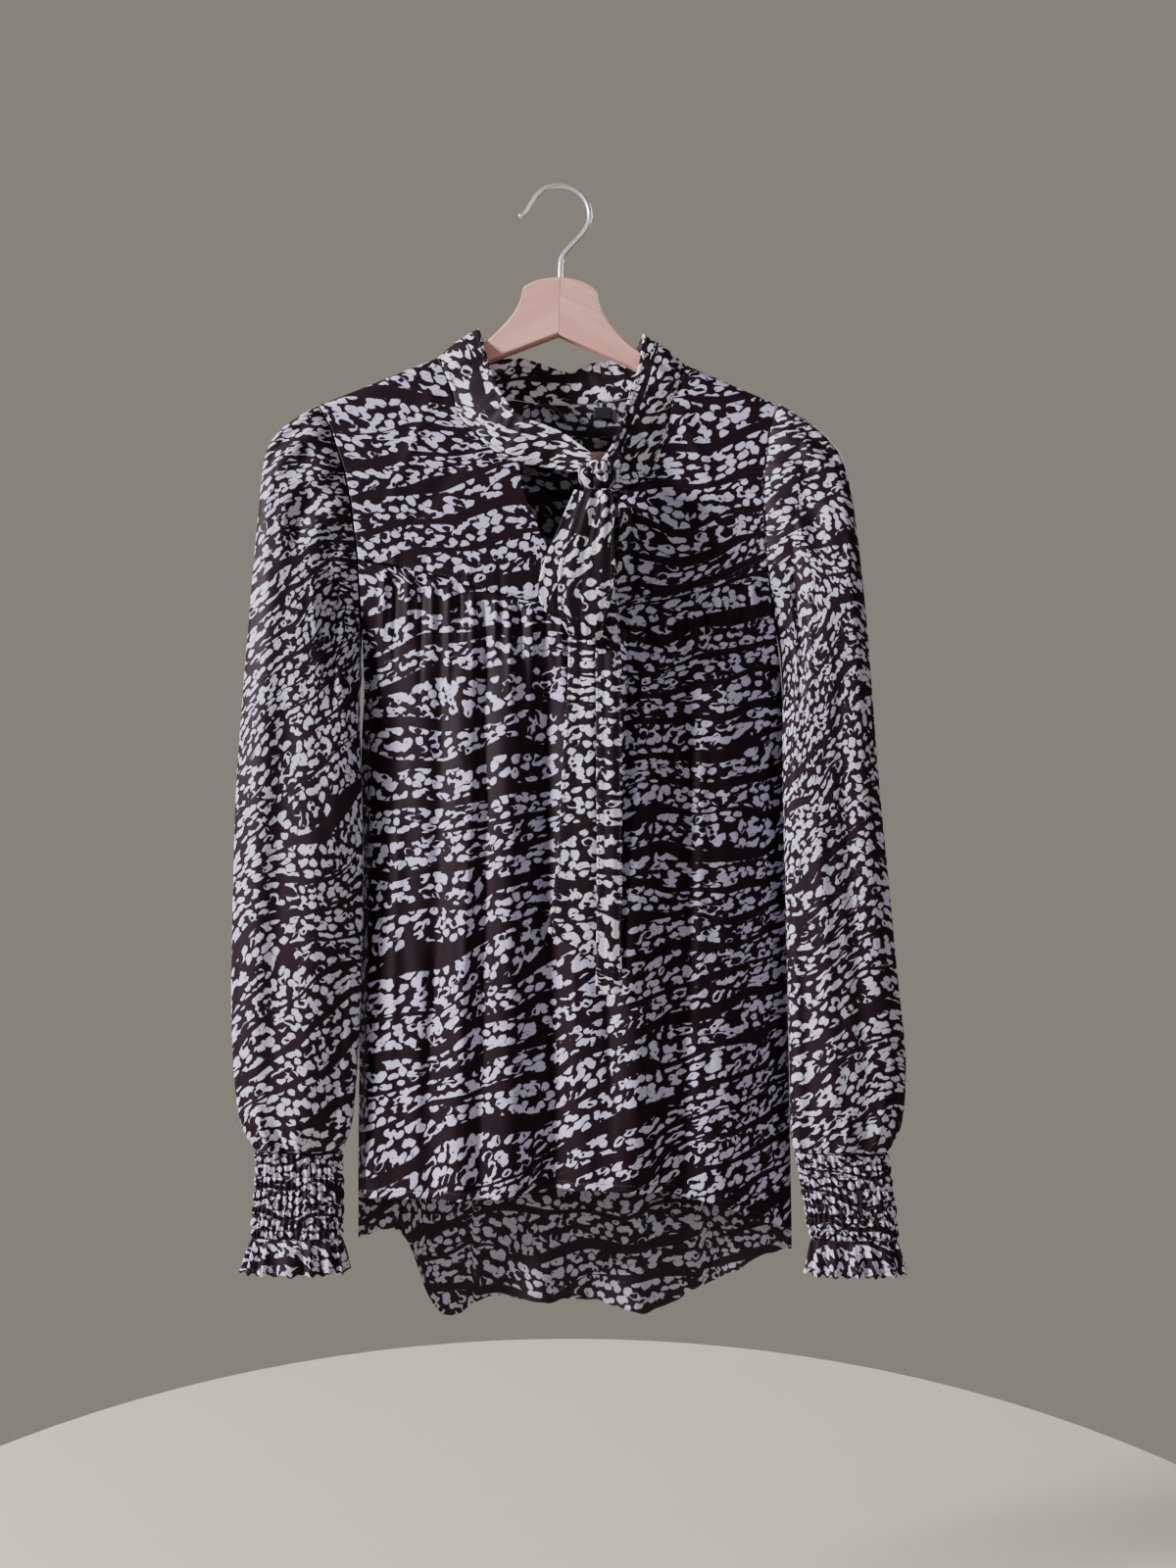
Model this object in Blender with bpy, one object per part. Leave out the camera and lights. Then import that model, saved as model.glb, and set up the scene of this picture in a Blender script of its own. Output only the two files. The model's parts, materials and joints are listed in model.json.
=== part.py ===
"""A tie neck blouse on a wooden hanger, hanging by its hook.

The front faces -Y and +Z is up. The origin is the underside of the hook's top.
Sizes are in millimetres and are scaled to metres as each mesh is made.
"""

import math

import bpy
import numpy as np

MM = 0.001

# Driving dimensions
CLOTH = 1.2
BAND_CLOTH = 1.6
SEAM_GAP = 0.3
HALF_GAP = SEAM_GAP / 2
ARMHOLE_GAP = 1.6
YOKE_GAP = 0.6
SIDE_GAP = 0.4
BAND_GAP = 1.35
CUFF_PLEATS = 40
CUFF_PLEAT_DEPTH = 1.3
FRILL_WAVES = 14
FRILL_DEPTH = 2.4
HEAD_GATHERS = 9
WRIST_GATHERS = 9
HANGER_THICKNESS = 11.0
HANGER_TILT = math.radians(1.5)
HANGER_CENTRE = (1.2, -67.0)
BAR_RADIUS = 5.0
BAR_HALF_LENGTH = 184.0
BAR_Z = -199.5
BORE_GAP = 0.3
WIRE_RADIUS = 1.6
SHANK_DEPTH = 9.0
OVER_ARM = 9.0
UNDERARM_Z = -350.0
SEAM_END_Z = -277.0
SLIT_END_X = 0.0

COLOURS = {
    "print": ((0.16, 0.13, 0.17), 0.7, 0.0),
    "ribbon": ((0.01, 0.01, 0.012), 0.5, 0.0),
    "wood": ((0.74, 0.47, 0.39), 0.5, 0.0),
    "chrome": ((0.75, 0.75, 0.77), 0.2, 1.0),
}

# The shoulder line of the cloth: x, z
SHOULDER = [
    (-230, -182.3), (-89, -125.9), (-60, -114.3), (0, -110),
    (62, -117.3), (94, -131.1), (230, -189.6),
]

# Half depths of the hanging cloth by height: z, front, back
DEPTHS = [
    (-100, 9.0, 9.0), (-150, 9.6, 10.5), (-180, 13, 13), (-210, 17, 15),
    (-250, 20, 17), (-312, 22, 19), (-450, 27, 26), (-600, 31, 31),
    (-740, 34, 35), (-860, 36, 38),
]

# Armholes and side seams by height: z, left x, right x, share of full depth at
# the armhole edge, y of the side seam
SIDES = [
    (-150, -176, 161, 1.0, 0), (-161, -176, 161, 1.0, 0), (-180, -166, 154, 1.0, 0),
    (-213, -155, 149.5, 1.0, 0), (-235, -150.5, 149, 1.0, 0), (-277, -145.5, 151, 0.8, 0),
    (-310, -144.5, 156, 0.5, 0), (-335, -144.5, 161, 0.18, 0), (-350, -144.5, 163.5, 0, 0),
    (-375, -144.5, 166, 0, 5), (-410, -147, 168, 0, 8), (-512, -147.5, 169, 0, 9),
    (-600, -148.5, 170.5, 0, 9), (-740, -149.5, 173, 0, 9), (-860, -150, 175, 0, 9),
]

# Seam under the yokes: x, z
YOKE_SEAM = [
    (-150, -276), (-112, -284), (-84, -291), (-49, -302), (0, -311),
    (42, -311), (81, -306), (107, -298), (155, -276),
]

# Hems by the share of the width from the left side seam: share, z
FRONT_HEM = [
    (0, -744), (0.1, -742), (0.33, -738), (0.5, -732), (0.62, -732), (0.75, -738),
    (0.84, -746), (0.92, -760), (1.0, -772),
]
BACK_HEM = [
    (0, -779), (0.1, -786), (0.17, -836), (0.3, -834), (0.55, -838), (0.7, -842),
    (0.84, -815), (0.92, -798), (1.0, -787),
]

# Back neckline from shoulder to shoulder: x, z
BACK_NECK = [
    (-89.6, -126.1), (-84, -133), (-72, -141), (-56, -148), (-37, -153.5), (-15, -156.8),
    (7, -157.8), (30, -156.5), (50, -153), (68, -146.5), (85, -137), (94.6, -131.3),
]

# Folds of the front, top to hem: top x, hem x, half width, height towards the front, start z
FRONT_FOLDS = [
    (-131, -141, 13, 9.0, -330), (-104, -112, 22, 3.0, -300), (-83, -92, 7, -3.5, -300),
    (-67, -71, 12, 4.5, -300), (-52, -58, 6, -3.5, -305), (-37, -34, 12, 5.0, -305),
    (-10, -8, 13, -10.0, -330), (20, 22, 12, 3.0, -330), (66, 52, 15, 9.0, -310),
    (90, 82, 13, -7.0, -310), (124, 124, 30, 6.0, -330), (155, 158, 11, -4.0, -350),
]

# Folds of the back, seen from behind: top x, hem x, half width, height towards the back, start z
BACK_FOLDS = [
    (-118, -128, 16, 7.0, -300), (-84, -88, 12, -5.0, -330), (-52, -50, 18, 6.0, -280),
    (-18, -14, 12, -7.0, -300), (14, 20, 17, 7.0, -260), (50, 58, 12, -6.0, -320),
    (86, 94, 18, 6.5, -290), (124, 134, 13, -5.0, -340),
]

# Neck band: seam x, seam z, side (-1 front, 1 back), top x, top y, top z
NECK_BAND = [
    (25.5, -218.5, -1, 24, -31.2, -202.5), (-3.7, -211.2, -1, 2, -30, -187),
    (-27.9, -206.8, -1, -19.9, -28, -178), (-41.5, -200.7, -1, -30, -26, -172),
    (-53.7, -191.7, -1, -37, -23, -164), (-71.1, -172.9, -1, -44.4, -18, -150),
    (-78.6, -150.4, -1, -50.5, -13, -133), (-84.5, -136, -1, -54.5, -10, -119.5),
    (-89.2, -125.9, -1, -59.0, 0, -103.5), (-83.6, -132.5, 1, -55.5, 10, -112),
    (-71.7, -140.5, 1, -51, 12, -119), (-55.8, -147.5, 1, -43, 13, -122.5),
    (-36.9, -153, 1, -29, 14, -122), (-15, -156.3, 1, -12, 15.5, -126),
    (7, -157.3, 1, 7, 17, -131.5), (29.9, -156, 1, 24, 15.5, -125.5),
    (49.8, -152.5, 1, 39, 14, -123.5), (67.7, -146, 1, 50, 13, -122),
    (84.6, -136.5, 1, 58, 11, -115), (94.2, -131.1, 1, 62.4, 0, -108),
    (89, -146, -1, 60, -10.5, -127), (84, -159, -1, 57, -14, -142),
    (79, -183.5, -1, 51, -19, -160), (73, -202, -1, 46.5, -24, -175),
    (64, -216.5, -1, 43, -28, -188), (50, -226.5, -1, 37, -30.6, -200),
    (38, -231, -1, 31, -31.2, -208),
]

# The slit's edges below the band: x, z
SLIT_LEFT = [(-28.5, -207.5), (-26.6, -220), (-22, -236), (-15, -251), (-8, -268), (-4, -287), (0, -311)]
SLIT_RIGHT = [(48, -228), (44, -234), (43.5, -262), (41, -290), (26, -305), (0, -311)]

# Sleeve sections from the shoulder down: outer x, outer z, inner x, inner z, front y, back y
LEFT_SLEEVE = [
    (-190, -168.5, -145.6, -356, -17, 16), (-203, -178, -146.0, -364, -19, 17),
    (-213, -191, -146.8, -374, -21, 16), (-217, -210, -146.5, -386, -24, 14),
    (-219, -240, -145.8, -402, -27, 9), (-222, -275, -144.8, -422, -29, 7),
    (-226, -325, -143.6, -448, -30, 6), (-231, -390, -142.6, -484, -31, 5),
    (-235, -450, -142.6, -526, -31, 5), (-237, -520, -143.5, -572, -31, 5),
    (-238.4, -590, -145.5, -620, -30, 5), (-237, -645, -148, -658, -30, 5),
    (-232.5, -684, -151, -688, -29, 4), (-224.5, -703, -156, -704, -26, 2),
    (-220.2, -708.6, -159.8, -708.6, -22.2, -1.8),
]
RIGHT_SLEEVE = [
    (177, -168.5, 165.0, -356, -17, 16), (188, -176, 165.6, -364, -19, 17),
    (199, -186.5, 165.8, -374, -21, 16), (208.5, -202, 165.4, -386, -24, 14),
    (214.5, -228, 164.8, -402, -27, 9), (219, -262, 164.4, -422, -29, 7),
    (224.5, -315, 164.6, -448, -30, 6), (229, -375, 165.4, -484, -31, 5),
    (234, -440, 166.4, -526, -31, 5), (241, -512, 167.5, -572, -31, 5),
    (248, -585, 168.8, -620, -30, 5), (253.5, -640, 169.5, -658, -30, 5),
    (251.5, -684, 170, -688, -29, 4), (244, -704, 171.5, -705, -26, 2),
    (239.8, -709.6, 174.2, -709.6, -22.2, -1.8),
]

# Cuff and frill rings going down: left x, right x, front y, back y, z
LEFT_CUFF = [
    (-220.5, -159.5, -22, -2, -709), (-220, -159, -21, -1, -724),
    (-221.5, -158.5, -21, -1, -742), (-223, -158.5, -21, -1, -760), (-223.5, -159.5, -20, -2, -772),
]
RIGHT_CUFF = [
    (174, 240, -22, -2, -710), (177, 242, -21, -1, -724),
    (180, 244.5, -21, -1, -742), (183, 246.5, -21, -1, -760), (185.5, 248, -20, -2, -773),
]
LEFT_FRILL = [(-223.5, -159.5, -20, -2, -772.4), (-227, -157, -23, 1, -783), (-230, -155, -25, 3, -797)]
RIGHT_FRILL = [(185.5, 248, -20, -2, -773.4), (184, 251, -23, 1, -784), (182.5, 254, -25, 3, -798)]

# Bow pieces along their run: left x, right x, y, z
LOOP_FRONT = [
    (18, 39, -46.5, -232.0), (15, 40.5, -52, -243), (8.5, 40.5, -55, -263), (2.3, 41, -56, -282),
    (0.5, 40, -56, -300), (1.4, 36, -55, -320), (6, 33, -53, -332), (11, 30, -48.5, -338.5),
    (8, 32, -45, -333), (3.5, 35, -43.2, -320), (2.5, 39, -42.5, -300), (4, 40, -42.3, -282),
    (10, 39.5, -42.3, -263), (16, 39, -42.6, -243), (19, 38, -43.4, -232.4),
]
LOOP_REAR = [
    (12, 37, -34.0, -229.9), (-2, 38, -32.5, -262), (-11, 38, -33, -285), (-14, 34, -33, -303),
    (-9, 30, -31.5, -317), (0, 26, -28.5, -321), (-9, 30, -25.6, -316), (-13, 33, -25, -303),
    (-10, 35, -25.4, -285), (-2, 36, -26, -262), (11, 36, -27, -236),
]
TAIL_SHORT = [
    (16, 34, -37.0, -231.2), (10, 35, -35.6, -290), (8, 35, -36.5, -340), (7, 35, -38.5, -375),
    (5, 34.5, -40, -405), (3, 34, -41, -437), (1.5, 34, -41.5, -470), (-1.5, 33.5, -42, -505),
    (-5.5, 33, -42.5, -537), (-6.7, 33, -43, -546),
]
TAIL_LONG = [
    (22, 38, -40.2, -232.0), (26, 42, -38.9, -290), (27, 45, -40.2, -340), (27.5, 46, -42.4, -380),
    (27.5, 46, -44, -425), (28, 46, -45, -475), (28, 46, -45.8, -520), (27.5, 45.5, -46.3, -560),
    (27, 46.5, -46.8, -590),
]
SHORT_TAIL_SLANT = -26.0
KNOT_CENTRE = (28.5, -41.4, -221.0)
KNOT_HALF = (13.5, 9.6, 10.5)

# Hanger arm in its own frame, from the mitre out: distance, top z, bottom z
HANGER_ARM = [
    (0.15, -67, -109.6), (8, -67.8, -112.8), (16, -69.6, -116), (23, -72.6, -118.9), (27, -76, -120.6),
    (29, -85, -121.4), (34, -95, -123.5), (43, -106, -127.2), (55, -117, -132.2),
    (75, -129.5, -142.5), (100, -140.5, -154), (130, -152.5, -166), (155, -161.8, -175.5),
    (168, -167.4, -183), (177, -171.5, -193), (185, -176, -206), (192, -181.5, -209.5),
    (197, -188, -205), (199, -193, -199),
]

# Hook centre line from the shank up and round to the tip: x, z
HOOK = [
    (1.2, -74.5), (1.2, -66), (1.8, -54), (4.4, -48.1), (11.1, -40.6), (18.6, -32.3), (22.8, -23.2),
    (21.9, -13.3), (16.9, -5.0), (8.4, 0.3), (0, 1.6), (-8.4, 0.3), (-15.5, -4.9), (-20.5, -12.3),
    (-24.6, -18.6), (-29.4, -21.7),
]

NECK_LABEL = {"left": 26.0, "right": 39.5, "top": -159.8, "bottom": -168.5, "thick": 0.8}
HANG_LOOP = [(-18, -160), (-14, -158.4), (-8, -158.6), (-2, -161.5), (2, -166), (6, -171.5)]
LOOP_RIBBON = 2.6


def smooth(t):
    """0 to 1 with soft ends."""
    t = np.clip(t, 0.0, 1.0)
    return t * t * (3 - 2 * t)


def through(keys, values, at):
    """A smooth curve through rows of values (Catmull-Rom), read at any keys."""
    keys = np.asarray(keys, float)
    values = np.asarray(values, float)
    at = np.clip(np.asarray(at, float), keys[0], keys[-1])
    slopes = np.gradient(values, keys, axis=0)
    row = np.clip(np.searchsorted(keys, at, side="right") - 1, 0, len(keys) - 2)
    step = keys[row + 1] - keys[row]
    t = (at - keys[row]) / step
    if values.ndim > 1:
        t = t[..., None]
        step = step[..., None]
    a = values[row]
    b = values[row + 1]
    da = slopes[row] * step
    db = slopes[row + 1] * step
    start = (2 * t**3 - 3 * t**2 + 1) * a + (t**3 - 2 * t**2 + t) * da
    return start + (3 * t**2 - 2 * t**3) * b + (t**3 - t**2) * db


def along(rows, count):
    """The rows of a table read at evenly spaced steps of its own index."""
    return through(np.arange(len(rows)), rows, np.linspace(0, len(rows) - 1, count))


def by_height(table, column, z):
    """One column of a table whose first column is a falling height."""
    rows = np.asarray(table, float)
    return np.interp(-np.asarray(z, float), -rows[:, 0], rows[:, column])


def shoulder_z(x):
    rows = np.asarray(SHOULDER, float)
    return np.interp(x, rows[:, 0], rows[:, 1])


def yoke_seam_z(x):
    rows = np.asarray(YOKE_SEAM, float)
    return through(rows[:, 0], rows[:, 1], x)


def over_arm(x, z):
    """0 on the shoulder line, 1 once the cloth hangs clear of the hanger's arm."""
    drop = np.clip((shoulder_z(x) - z) / OVER_ARM, 0, 1)
    return np.sqrt(np.clip(1 - (1 - drop) ** 2, 0, 1))


def panel_y(x, z, side):
    """Depth of the plain hanging panel: side is -1 for the front and 1 for the back."""
    depth = np.where(np.asarray(side) < 0, by_height(DEPTHS, 1, z), by_height(DEPTHS, 2, z))
    full = side * depth * over_arm(x, z)
    left = by_height(SIDES, 1, z)
    right = by_height(SIDES, 2, z)
    across = np.clip(np.abs(2 * x - left - right) / (right - left), 0, 1)
    bulge = (1 - across**3.2) ** 0.85
    edge = full * by_height(SIDES, 3, z) + by_height(SIDES, 4, z)
    return edge + (full - edge) * bulge


def fold_y(folds, x, z, side, hem):
    """Soft troughs and ridges that start under a seam and open towards the hem."""
    total = np.zeros_like(x)
    for top_x, hem_x, half, height, start in folds:
        down = np.clip((start - z) / (start - hem), 0, 1)
        middle = top_x + (hem_x - top_x) * down
        width = half * (0.75 + 0.5 * down)
        grow = smooth((start - z) / 70) * (0.7 + 0.5 * down)
        total += side * height * grow * np.exp(-(((x - middle) / width) ** 2))
    return total


def material_named(name):
    """The Principled material of one finish, shared by a copy for each object."""
    colour, roughness, metallic = COLOURS[name]
    material = bpy.data.materials.new(name)
    material.use_nodes = True
    shader = material.node_tree.nodes["Principled BSDF"]
    shader.inputs["Base Color"].default_value = (*colour, 1)
    shader.inputs["Roughness"].default_value = roughness
    shader.inputs["Metallic"].default_value = metallic
    material.diffuse_color = (*colour, 1)
    return material


def add_mesh(name, points, faces, finish, parts):
    """A mesh object from points in millimetres and four-cornered faces."""
    mesh = bpy.data.meshes.new(name)
    mesh.from_pydata((np.asarray(points) * MM).tolist(), [], np.asarray(faces).tolist())
    mesh.validate()
    mesh.shade_smooth()
    mesh.materials.append(material_named(finish))
    obj = bpy.data.objects.new(name, mesh)
    parts.objects.link(obj)
    return obj


def quads(rows, columns, wraps):
    """Corner numbers of the faces of a grid, closed on itself where it wraps."""
    last = columns if wraps else columns - 1
    r, c = np.meshgrid(np.arange(rows - 1), np.arange(last), indexing="ij")
    d = (c + 1) % columns
    corners = [r * columns + c, (r + 1) * columns + c, (r + 1) * columns + d, r * columns + d]
    return np.stack(corners, -1).reshape(-1, 4)


def normals_of(grid, wraps):
    """Outward unit normals of a grid of points."""
    if wraps:
        wide = np.concatenate([grid[:, -1:], grid, grid[:, :1]], axis=1)
        across = (wide[:, 2:] - wide[:, :-2])
    else:
        across = np.gradient(grid, axis=1)
    down = np.gradient(grid, axis=0)
    normal = np.cross(down, across)
    return normal / np.maximum(np.linalg.norm(normal, axis=-1, keepdims=True), 1e-9)


def rim(first, second):
    """Faces between two open or closed rows of corner numbers."""
    return np.stack([first[:-1], second[:-1], second[1:], first[1:]], -1)


def wall(name, outer, inner, finish, parts, wraps=False):
    """A closed cloth wall: a loft between its outer and its inner grid of points."""
    rows, columns = outer.shape[:2]
    count = rows * columns
    out_faces = quads(rows, columns, wraps)
    in_rows = inner.shape[0]
    in_faces = quads(in_rows, columns, wraps)[:, ::-1] + count
    turn = np.arange(columns + 1) % columns if wraps else np.arange(columns)
    top = rim(turn + count, turn)
    bottom = rim((rows - 1) * columns + turn, count + (in_rows - 1) * columns + turn)
    faces = [out_faces, in_faces, top, bottom]
    if not wraps:
        side = np.arange(rows) * columns
        faces.append(rim(side, side + count))
        faces.append(rim(side + count + columns - 1, side + columns - 1))
    points = np.concatenate([outer.reshape(-1, 3), inner.reshape(-1, 3)])
    return add_mesh(name, points, np.concatenate(faces), finish, parts)


def inside_of(grid, thick, wraps=False, level=(), side_from=None):
    """The inner points of a wall. On a level edge the wall has no thickness along y."""
    normal = normals_of(grid, wraps)
    if "top" in level:
        normal[0, :, 1] = 0
    if "sides" in level:
        first = side_from or 0
        normal[first:, 0, 1] = 0
        normal[first:, -1, 1] = 0
    normal /= np.linalg.norm(normal, axis=-1, keepdims=True)
    return grid - thick * normal


def spread(count):
    """Shares of a width from 0 to 1, closer together near both ends."""
    even = np.linspace(0, 1, count)
    eased = (1 - np.cos(np.pi * even)) / 2
    return 0.55 * even + 0.45 * eased


def neck_points(first, last, away):
    """Points of the neck band's seam, moved a little out of the neck."""
    rows = np.asarray(NECK_BAND, float)[first:last]
    middle = np.array([4.0, -165.0])
    points = rows[:, :2]
    out = points - middle
    return points + away * out / np.linalg.norm(out, axis=1, keepdims=True)


def front_yoke(name, mirror, parts):
    """One front yoke: rows run from the neck and slit out to the armhole."""
    if mirror:
        neck = neck_points(19, 25, BAND_GAP)
        slit = np.asarray(SLIT_RIGHT, float)
        column = 2
    else:
        neck = neck_points(2, 9, BAND_GAP)[::-1]
        slit = np.asarray(SLIT_LEFT, float)
        column = 1
    inner = np.concatenate([neck, slit[1:]])
    lengths = np.concatenate([[0], np.cumsum(np.linalg.norm(np.diff(inner, axis=0), axis=1))])
    down = np.concatenate([[0, 0.012, 0.035, 0.075], np.linspace(0.14, 1, 10)])
    inner = np.stack([np.interp(down * lengths[-1], lengths, inner[:, k]) for k in (0, 1)], -1)
    outer_z = -161.2 + (SEAM_END_Z + 161.2) * down
    outer = np.stack([by_height(SIDES, column, outer_z), outer_z], -1)
    share = np.linspace(0, 1, 11)[None, :, None]
    flat = inner[:, None] * (1 - share) + outer[:, None] * share
    x = flat[..., 0]
    z = flat[..., 1]
    bottom = yoke_seam_z(x[-1]) + HALF_GAP
    z = z + smooth((down[:, None] - 0.2) / 0.8) * (bottom - z[-1])
    z[0] = shoulder_z(x[0])
    if mirror:
        x = np.maximum(x, SLIT_END_X + HALF_GAP)
    else:
        x = np.minimum(x, SLIT_END_X - HALF_GAP)
    y = panel_y(x, z, -1)
    y[0] = -HALF_GAP
    grid = np.stack([x, y, z], -1)
    if not mirror:
        grid = grid[:, ::-1]
    wall(name, grid, inside_of(grid, CLOTH, level=("top",)), "print", parts)


def front_body(parts):
    """The gathered front below the yokes."""
    share = spread(33)[None, :]
    down = np.linspace(0, 1, 12)[:, None] ** 1.1
    top_left = by_height(SIDES, 1, SEAM_END_Z)
    top_right = by_height(SIDES, 2, SEAM_END_Z)
    top = yoke_seam_z(top_left + (top_right - top_left) * share) - YOKE_GAP
    hem_rows = np.asarray(FRONT_HEM, float)
    hem = through(hem_rows[:, 0], hem_rows[:, 1], share)
    z = top + (hem - top) * down
    left = by_height(SIDES, 1, z)
    right = by_height(SIDES, 2, z)
    x = left + (right - left) * share
    across = np.abs(2 * share - 1)
    hold = smooth((1 - across) / 0.06)
    y = panel_y(x, z, -1) + hold * fold_y(FRONT_FOLDS, x, z, -1, -745)
    y[:, 0] -= SIDE_GAP
    y[:, -1] -= SIDE_GAP
    grid = np.stack([x, y, z], -1)
    wall("front_body", grid, inside_of(grid, CLOTH, level=("sides",), side_from=2), "print", parts)


def back_body(parts):
    """The back from the shoulders to the longer hem, seen from behind."""
    share = spread(29)[None, :]
    down = np.concatenate([[0, 0.003, 0.009, 0.018, 0.045], np.linspace(0.1, 1, 10)])[:, None]
    neck = np.asarray(BACK_NECK, float)
    top_x = by_height(SIDES, 1, -161) + (by_height(SIDES, 2, -161) - by_height(SIDES, 1, -161)) * share
    in_neck = np.interp(top_x, neck[:, 0], neck[:, 1])
    beside = (top_x < neck[0, 0]) | (top_x > neck[-1, 0])
    top = np.where(beside, shoulder_z(top_x), in_neck - SEAM_GAP)
    hem_rows = np.asarray(BACK_HEM, float)
    hem = through(hem_rows[:, 0], hem_rows[:, 1], share)
    z = top + (hem - top) * down
    left = by_height(SIDES, 1, z)
    right = by_height(SIDES, 2, z)
    x = left + (right - left) * share
    hold = smooth((1 - np.abs(2 * share - 1)) / 0.06)
    y = panel_y(x, z, 1) + hold * fold_y(BACK_FOLDS, x, z, 1, -830)
    y[0] = np.where(beside[0], HALF_GAP, y[0])
    y[:, 0] += SIDE_GAP
    y[:, -1] += SIDE_GAP
    grid = np.stack([x, y, z], -1)[:, ::-1]
    wall("back_body", grid, inside_of(grid, CLOTH, level=("top", "sides")), "print", parts)


def armhole_ring(column, angles, out):
    """The armhole from the shoulder round the front, the underarm and the back."""
    z = -161 + (UNDERARM_Z + 161) * (1 - np.cos(angles)) / 2
    x = by_height(SIDES, column, z)
    front = angles <= np.pi
    y = np.where(front, panel_y(x, z, -1), panel_y(x, z, 1))
    y = np.where(np.abs(np.sin(angles)) < 1e-6, 0, y)
    return np.stack([x + out, y, z], -1)


def sleeve(name, table, column, parts):
    """A full sleeve: rings that fan from the armhole to level ones at the cuff."""
    sign = -1 if column == 1 else 1
    angles = np.linspace(0, 2 * np.pi, 32, endpoint=False)
    rows = along(table, 15)
    outer = rows[:, None, :2]
    inner = rows[:, None, 2:4]
    middle = (outer + inner) / 2
    half = (outer - inner) / 2
    turn = np.cos(angles)[None, :, None]
    flat = middle + half * turn
    around = np.sin(angles)
    shape = np.sign(around) * np.abs(around) ** 0.65
    front = rows[:, 4:5]
    back = rows[:, 5:6]
    y = (front + back) / 2 - (back - front) / 2 * shape[None, :]
    down = np.linspace(0, 1, len(rows))[:, None]
    head = np.exp(-((down / 0.16) ** 2)) * smooth(np.cos(angles) * 0.6 + 0.7)[None, :]
    wrist = smooth((down - 0.72) / 0.25)
    ripple = 1.2 * head * np.cos(HEAD_GATHERS * 2 * angles)[None, :]
    ripple = ripple + 1.3 * wrist * np.cos(WRIST_GATHERS * 2 * angles + 0.6)[None, :]
    y = y - ripple * np.sign(around)[None, :] * np.abs(around)[None, :] ** 0.5
    rings = np.concatenate([flat[..., :1], y[..., None], flat[..., 1:]], -1)
    start = armhole_ring(column, angles, sign * ARMHOLE_GAP)
    grid = np.concatenate([start[None], rings])
    if column == 2:
        grid = grid[:, ::-1]
    wall(name, grid, inside_of(grid, CLOTH, wraps=True), "print", parts, wraps=True)


def cuff_ring(row, angles):
    """One level ring of a cuff or frill, flattened front to back."""
    left, right, front, back, z = row
    around = np.sin(angles)
    x = (left + right) / 2 - (right - left) / 2 * np.cos(angles)
    y = (front + back) / 2 - (back - front) / 2 * np.sign(around) * np.abs(around) ** 0.7
    return np.stack([x, y, np.full_like(x, z)], -1)


def tube_rings(table, count, columns):
    """Rings down a cuff or frill, going round anticlockwise seen from above."""
    angles = np.linspace(0, 2 * np.pi, columns, endpoint=False)
    rows = along(table, count)
    return np.stack([cuff_ring(row, angles) for row in rows])


def cuff(name, table, parts):
    """A shirred cuff: pleats raised on the outside over a plain inside."""
    grid = tube_rings(table, 5, CUFF_PLEATS * 2)
    normal = normals_of(grid, True)
    raised = np.tile([0.0, 1.0], CUFF_PLEATS)
    rows = np.array([0.7, 1.0, 0.55, 1.0, 0.6])
    outer = grid + normal * (CUFF_PLEAT_DEPTH * rows[:, None] * raised[None, :])[..., None]
    plain = grid[[0, -1]] - CLOTH * normal[[0, -1]]
    wall(name, outer, plain, "print", parts, wraps=True)


def frill(name, table, parts):
    """The frill under a cuff, waved more towards its edge."""
    columns = FRILL_WAVES * 4
    grid = tube_rings(table, 3, columns)
    normal = normals_of(grid, True)
    wave = np.sin(np.arange(columns) * np.pi / 2)
    depth = FRILL_DEPTH * np.array([0.15, 0.7, 1.0])
    grid = grid + normal * (depth[:, None] * wave[None, :])[..., None]
    wall(name, grid, inside_of(grid, CLOTH, wraps=True), "print", parts, wraps=True)


def neck_band(parts):
    """The stand band, from the knot round the back of the neck to the knot."""
    rows = np.asarray(NECK_BAND, float)
    seam_y = panel_y(rows[:, 0], rows[:, 1], rows[:, 2])
    on_top = np.abs(rows[:, 1] - shoulder_z(rows[:, 0])) < 0.01
    seam_y = np.where(on_top, 0, seam_y)
    seam_y[0] = -30.4
    seam_y[-2] = -28
    seam_y[-1] = -30.4
    seam = np.stack([rows[:, 0], seam_y, rows[:, 1]], -1)
    top = rows[:, 3:6]
    seam = along(seam, 43)
    top = along(top, 43)
    share = np.linspace(0, 1, 4)[:, None, None]
    grid = top[None] * (1 - share) + seam[None] * share
    grid = grid[:, ::-1]
    swell = np.sin(np.pi * share) * 1.5
    grid = grid + swell * normals_of(grid, False)
    wall("neck_band", grid, inside_of(grid, BAND_CLOTH), "print", parts)


def strip(name, table, count, across, thick, parts, slant=0.0, flip=False):
    """A band of cloth carried along its run, crowned a little across its width."""
    rows = along(table, count)
    share = np.linspace(0, 1, across)[None, :]
    x = rows[:, :1] + (rows[:, 1:2] - rows[:, :1]) * share
    y = rows[:, 2:3] + 0 * share
    z = rows[:, 3:4] + 0 * share
    end = smooth((np.arange(count)[:, None] - (count - 4)) / 3)
    z = z + slant * share * end
    grid = np.stack([x, y, z], -1)
    crown = np.sin(np.pi * share) * 0.9
    normal = normals_of(grid, False)
    grid = grid + (crown * np.ones_like(x))[..., None] * normal
    wall(name, grid, inside_of(grid, thick), "print", parts)


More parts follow.
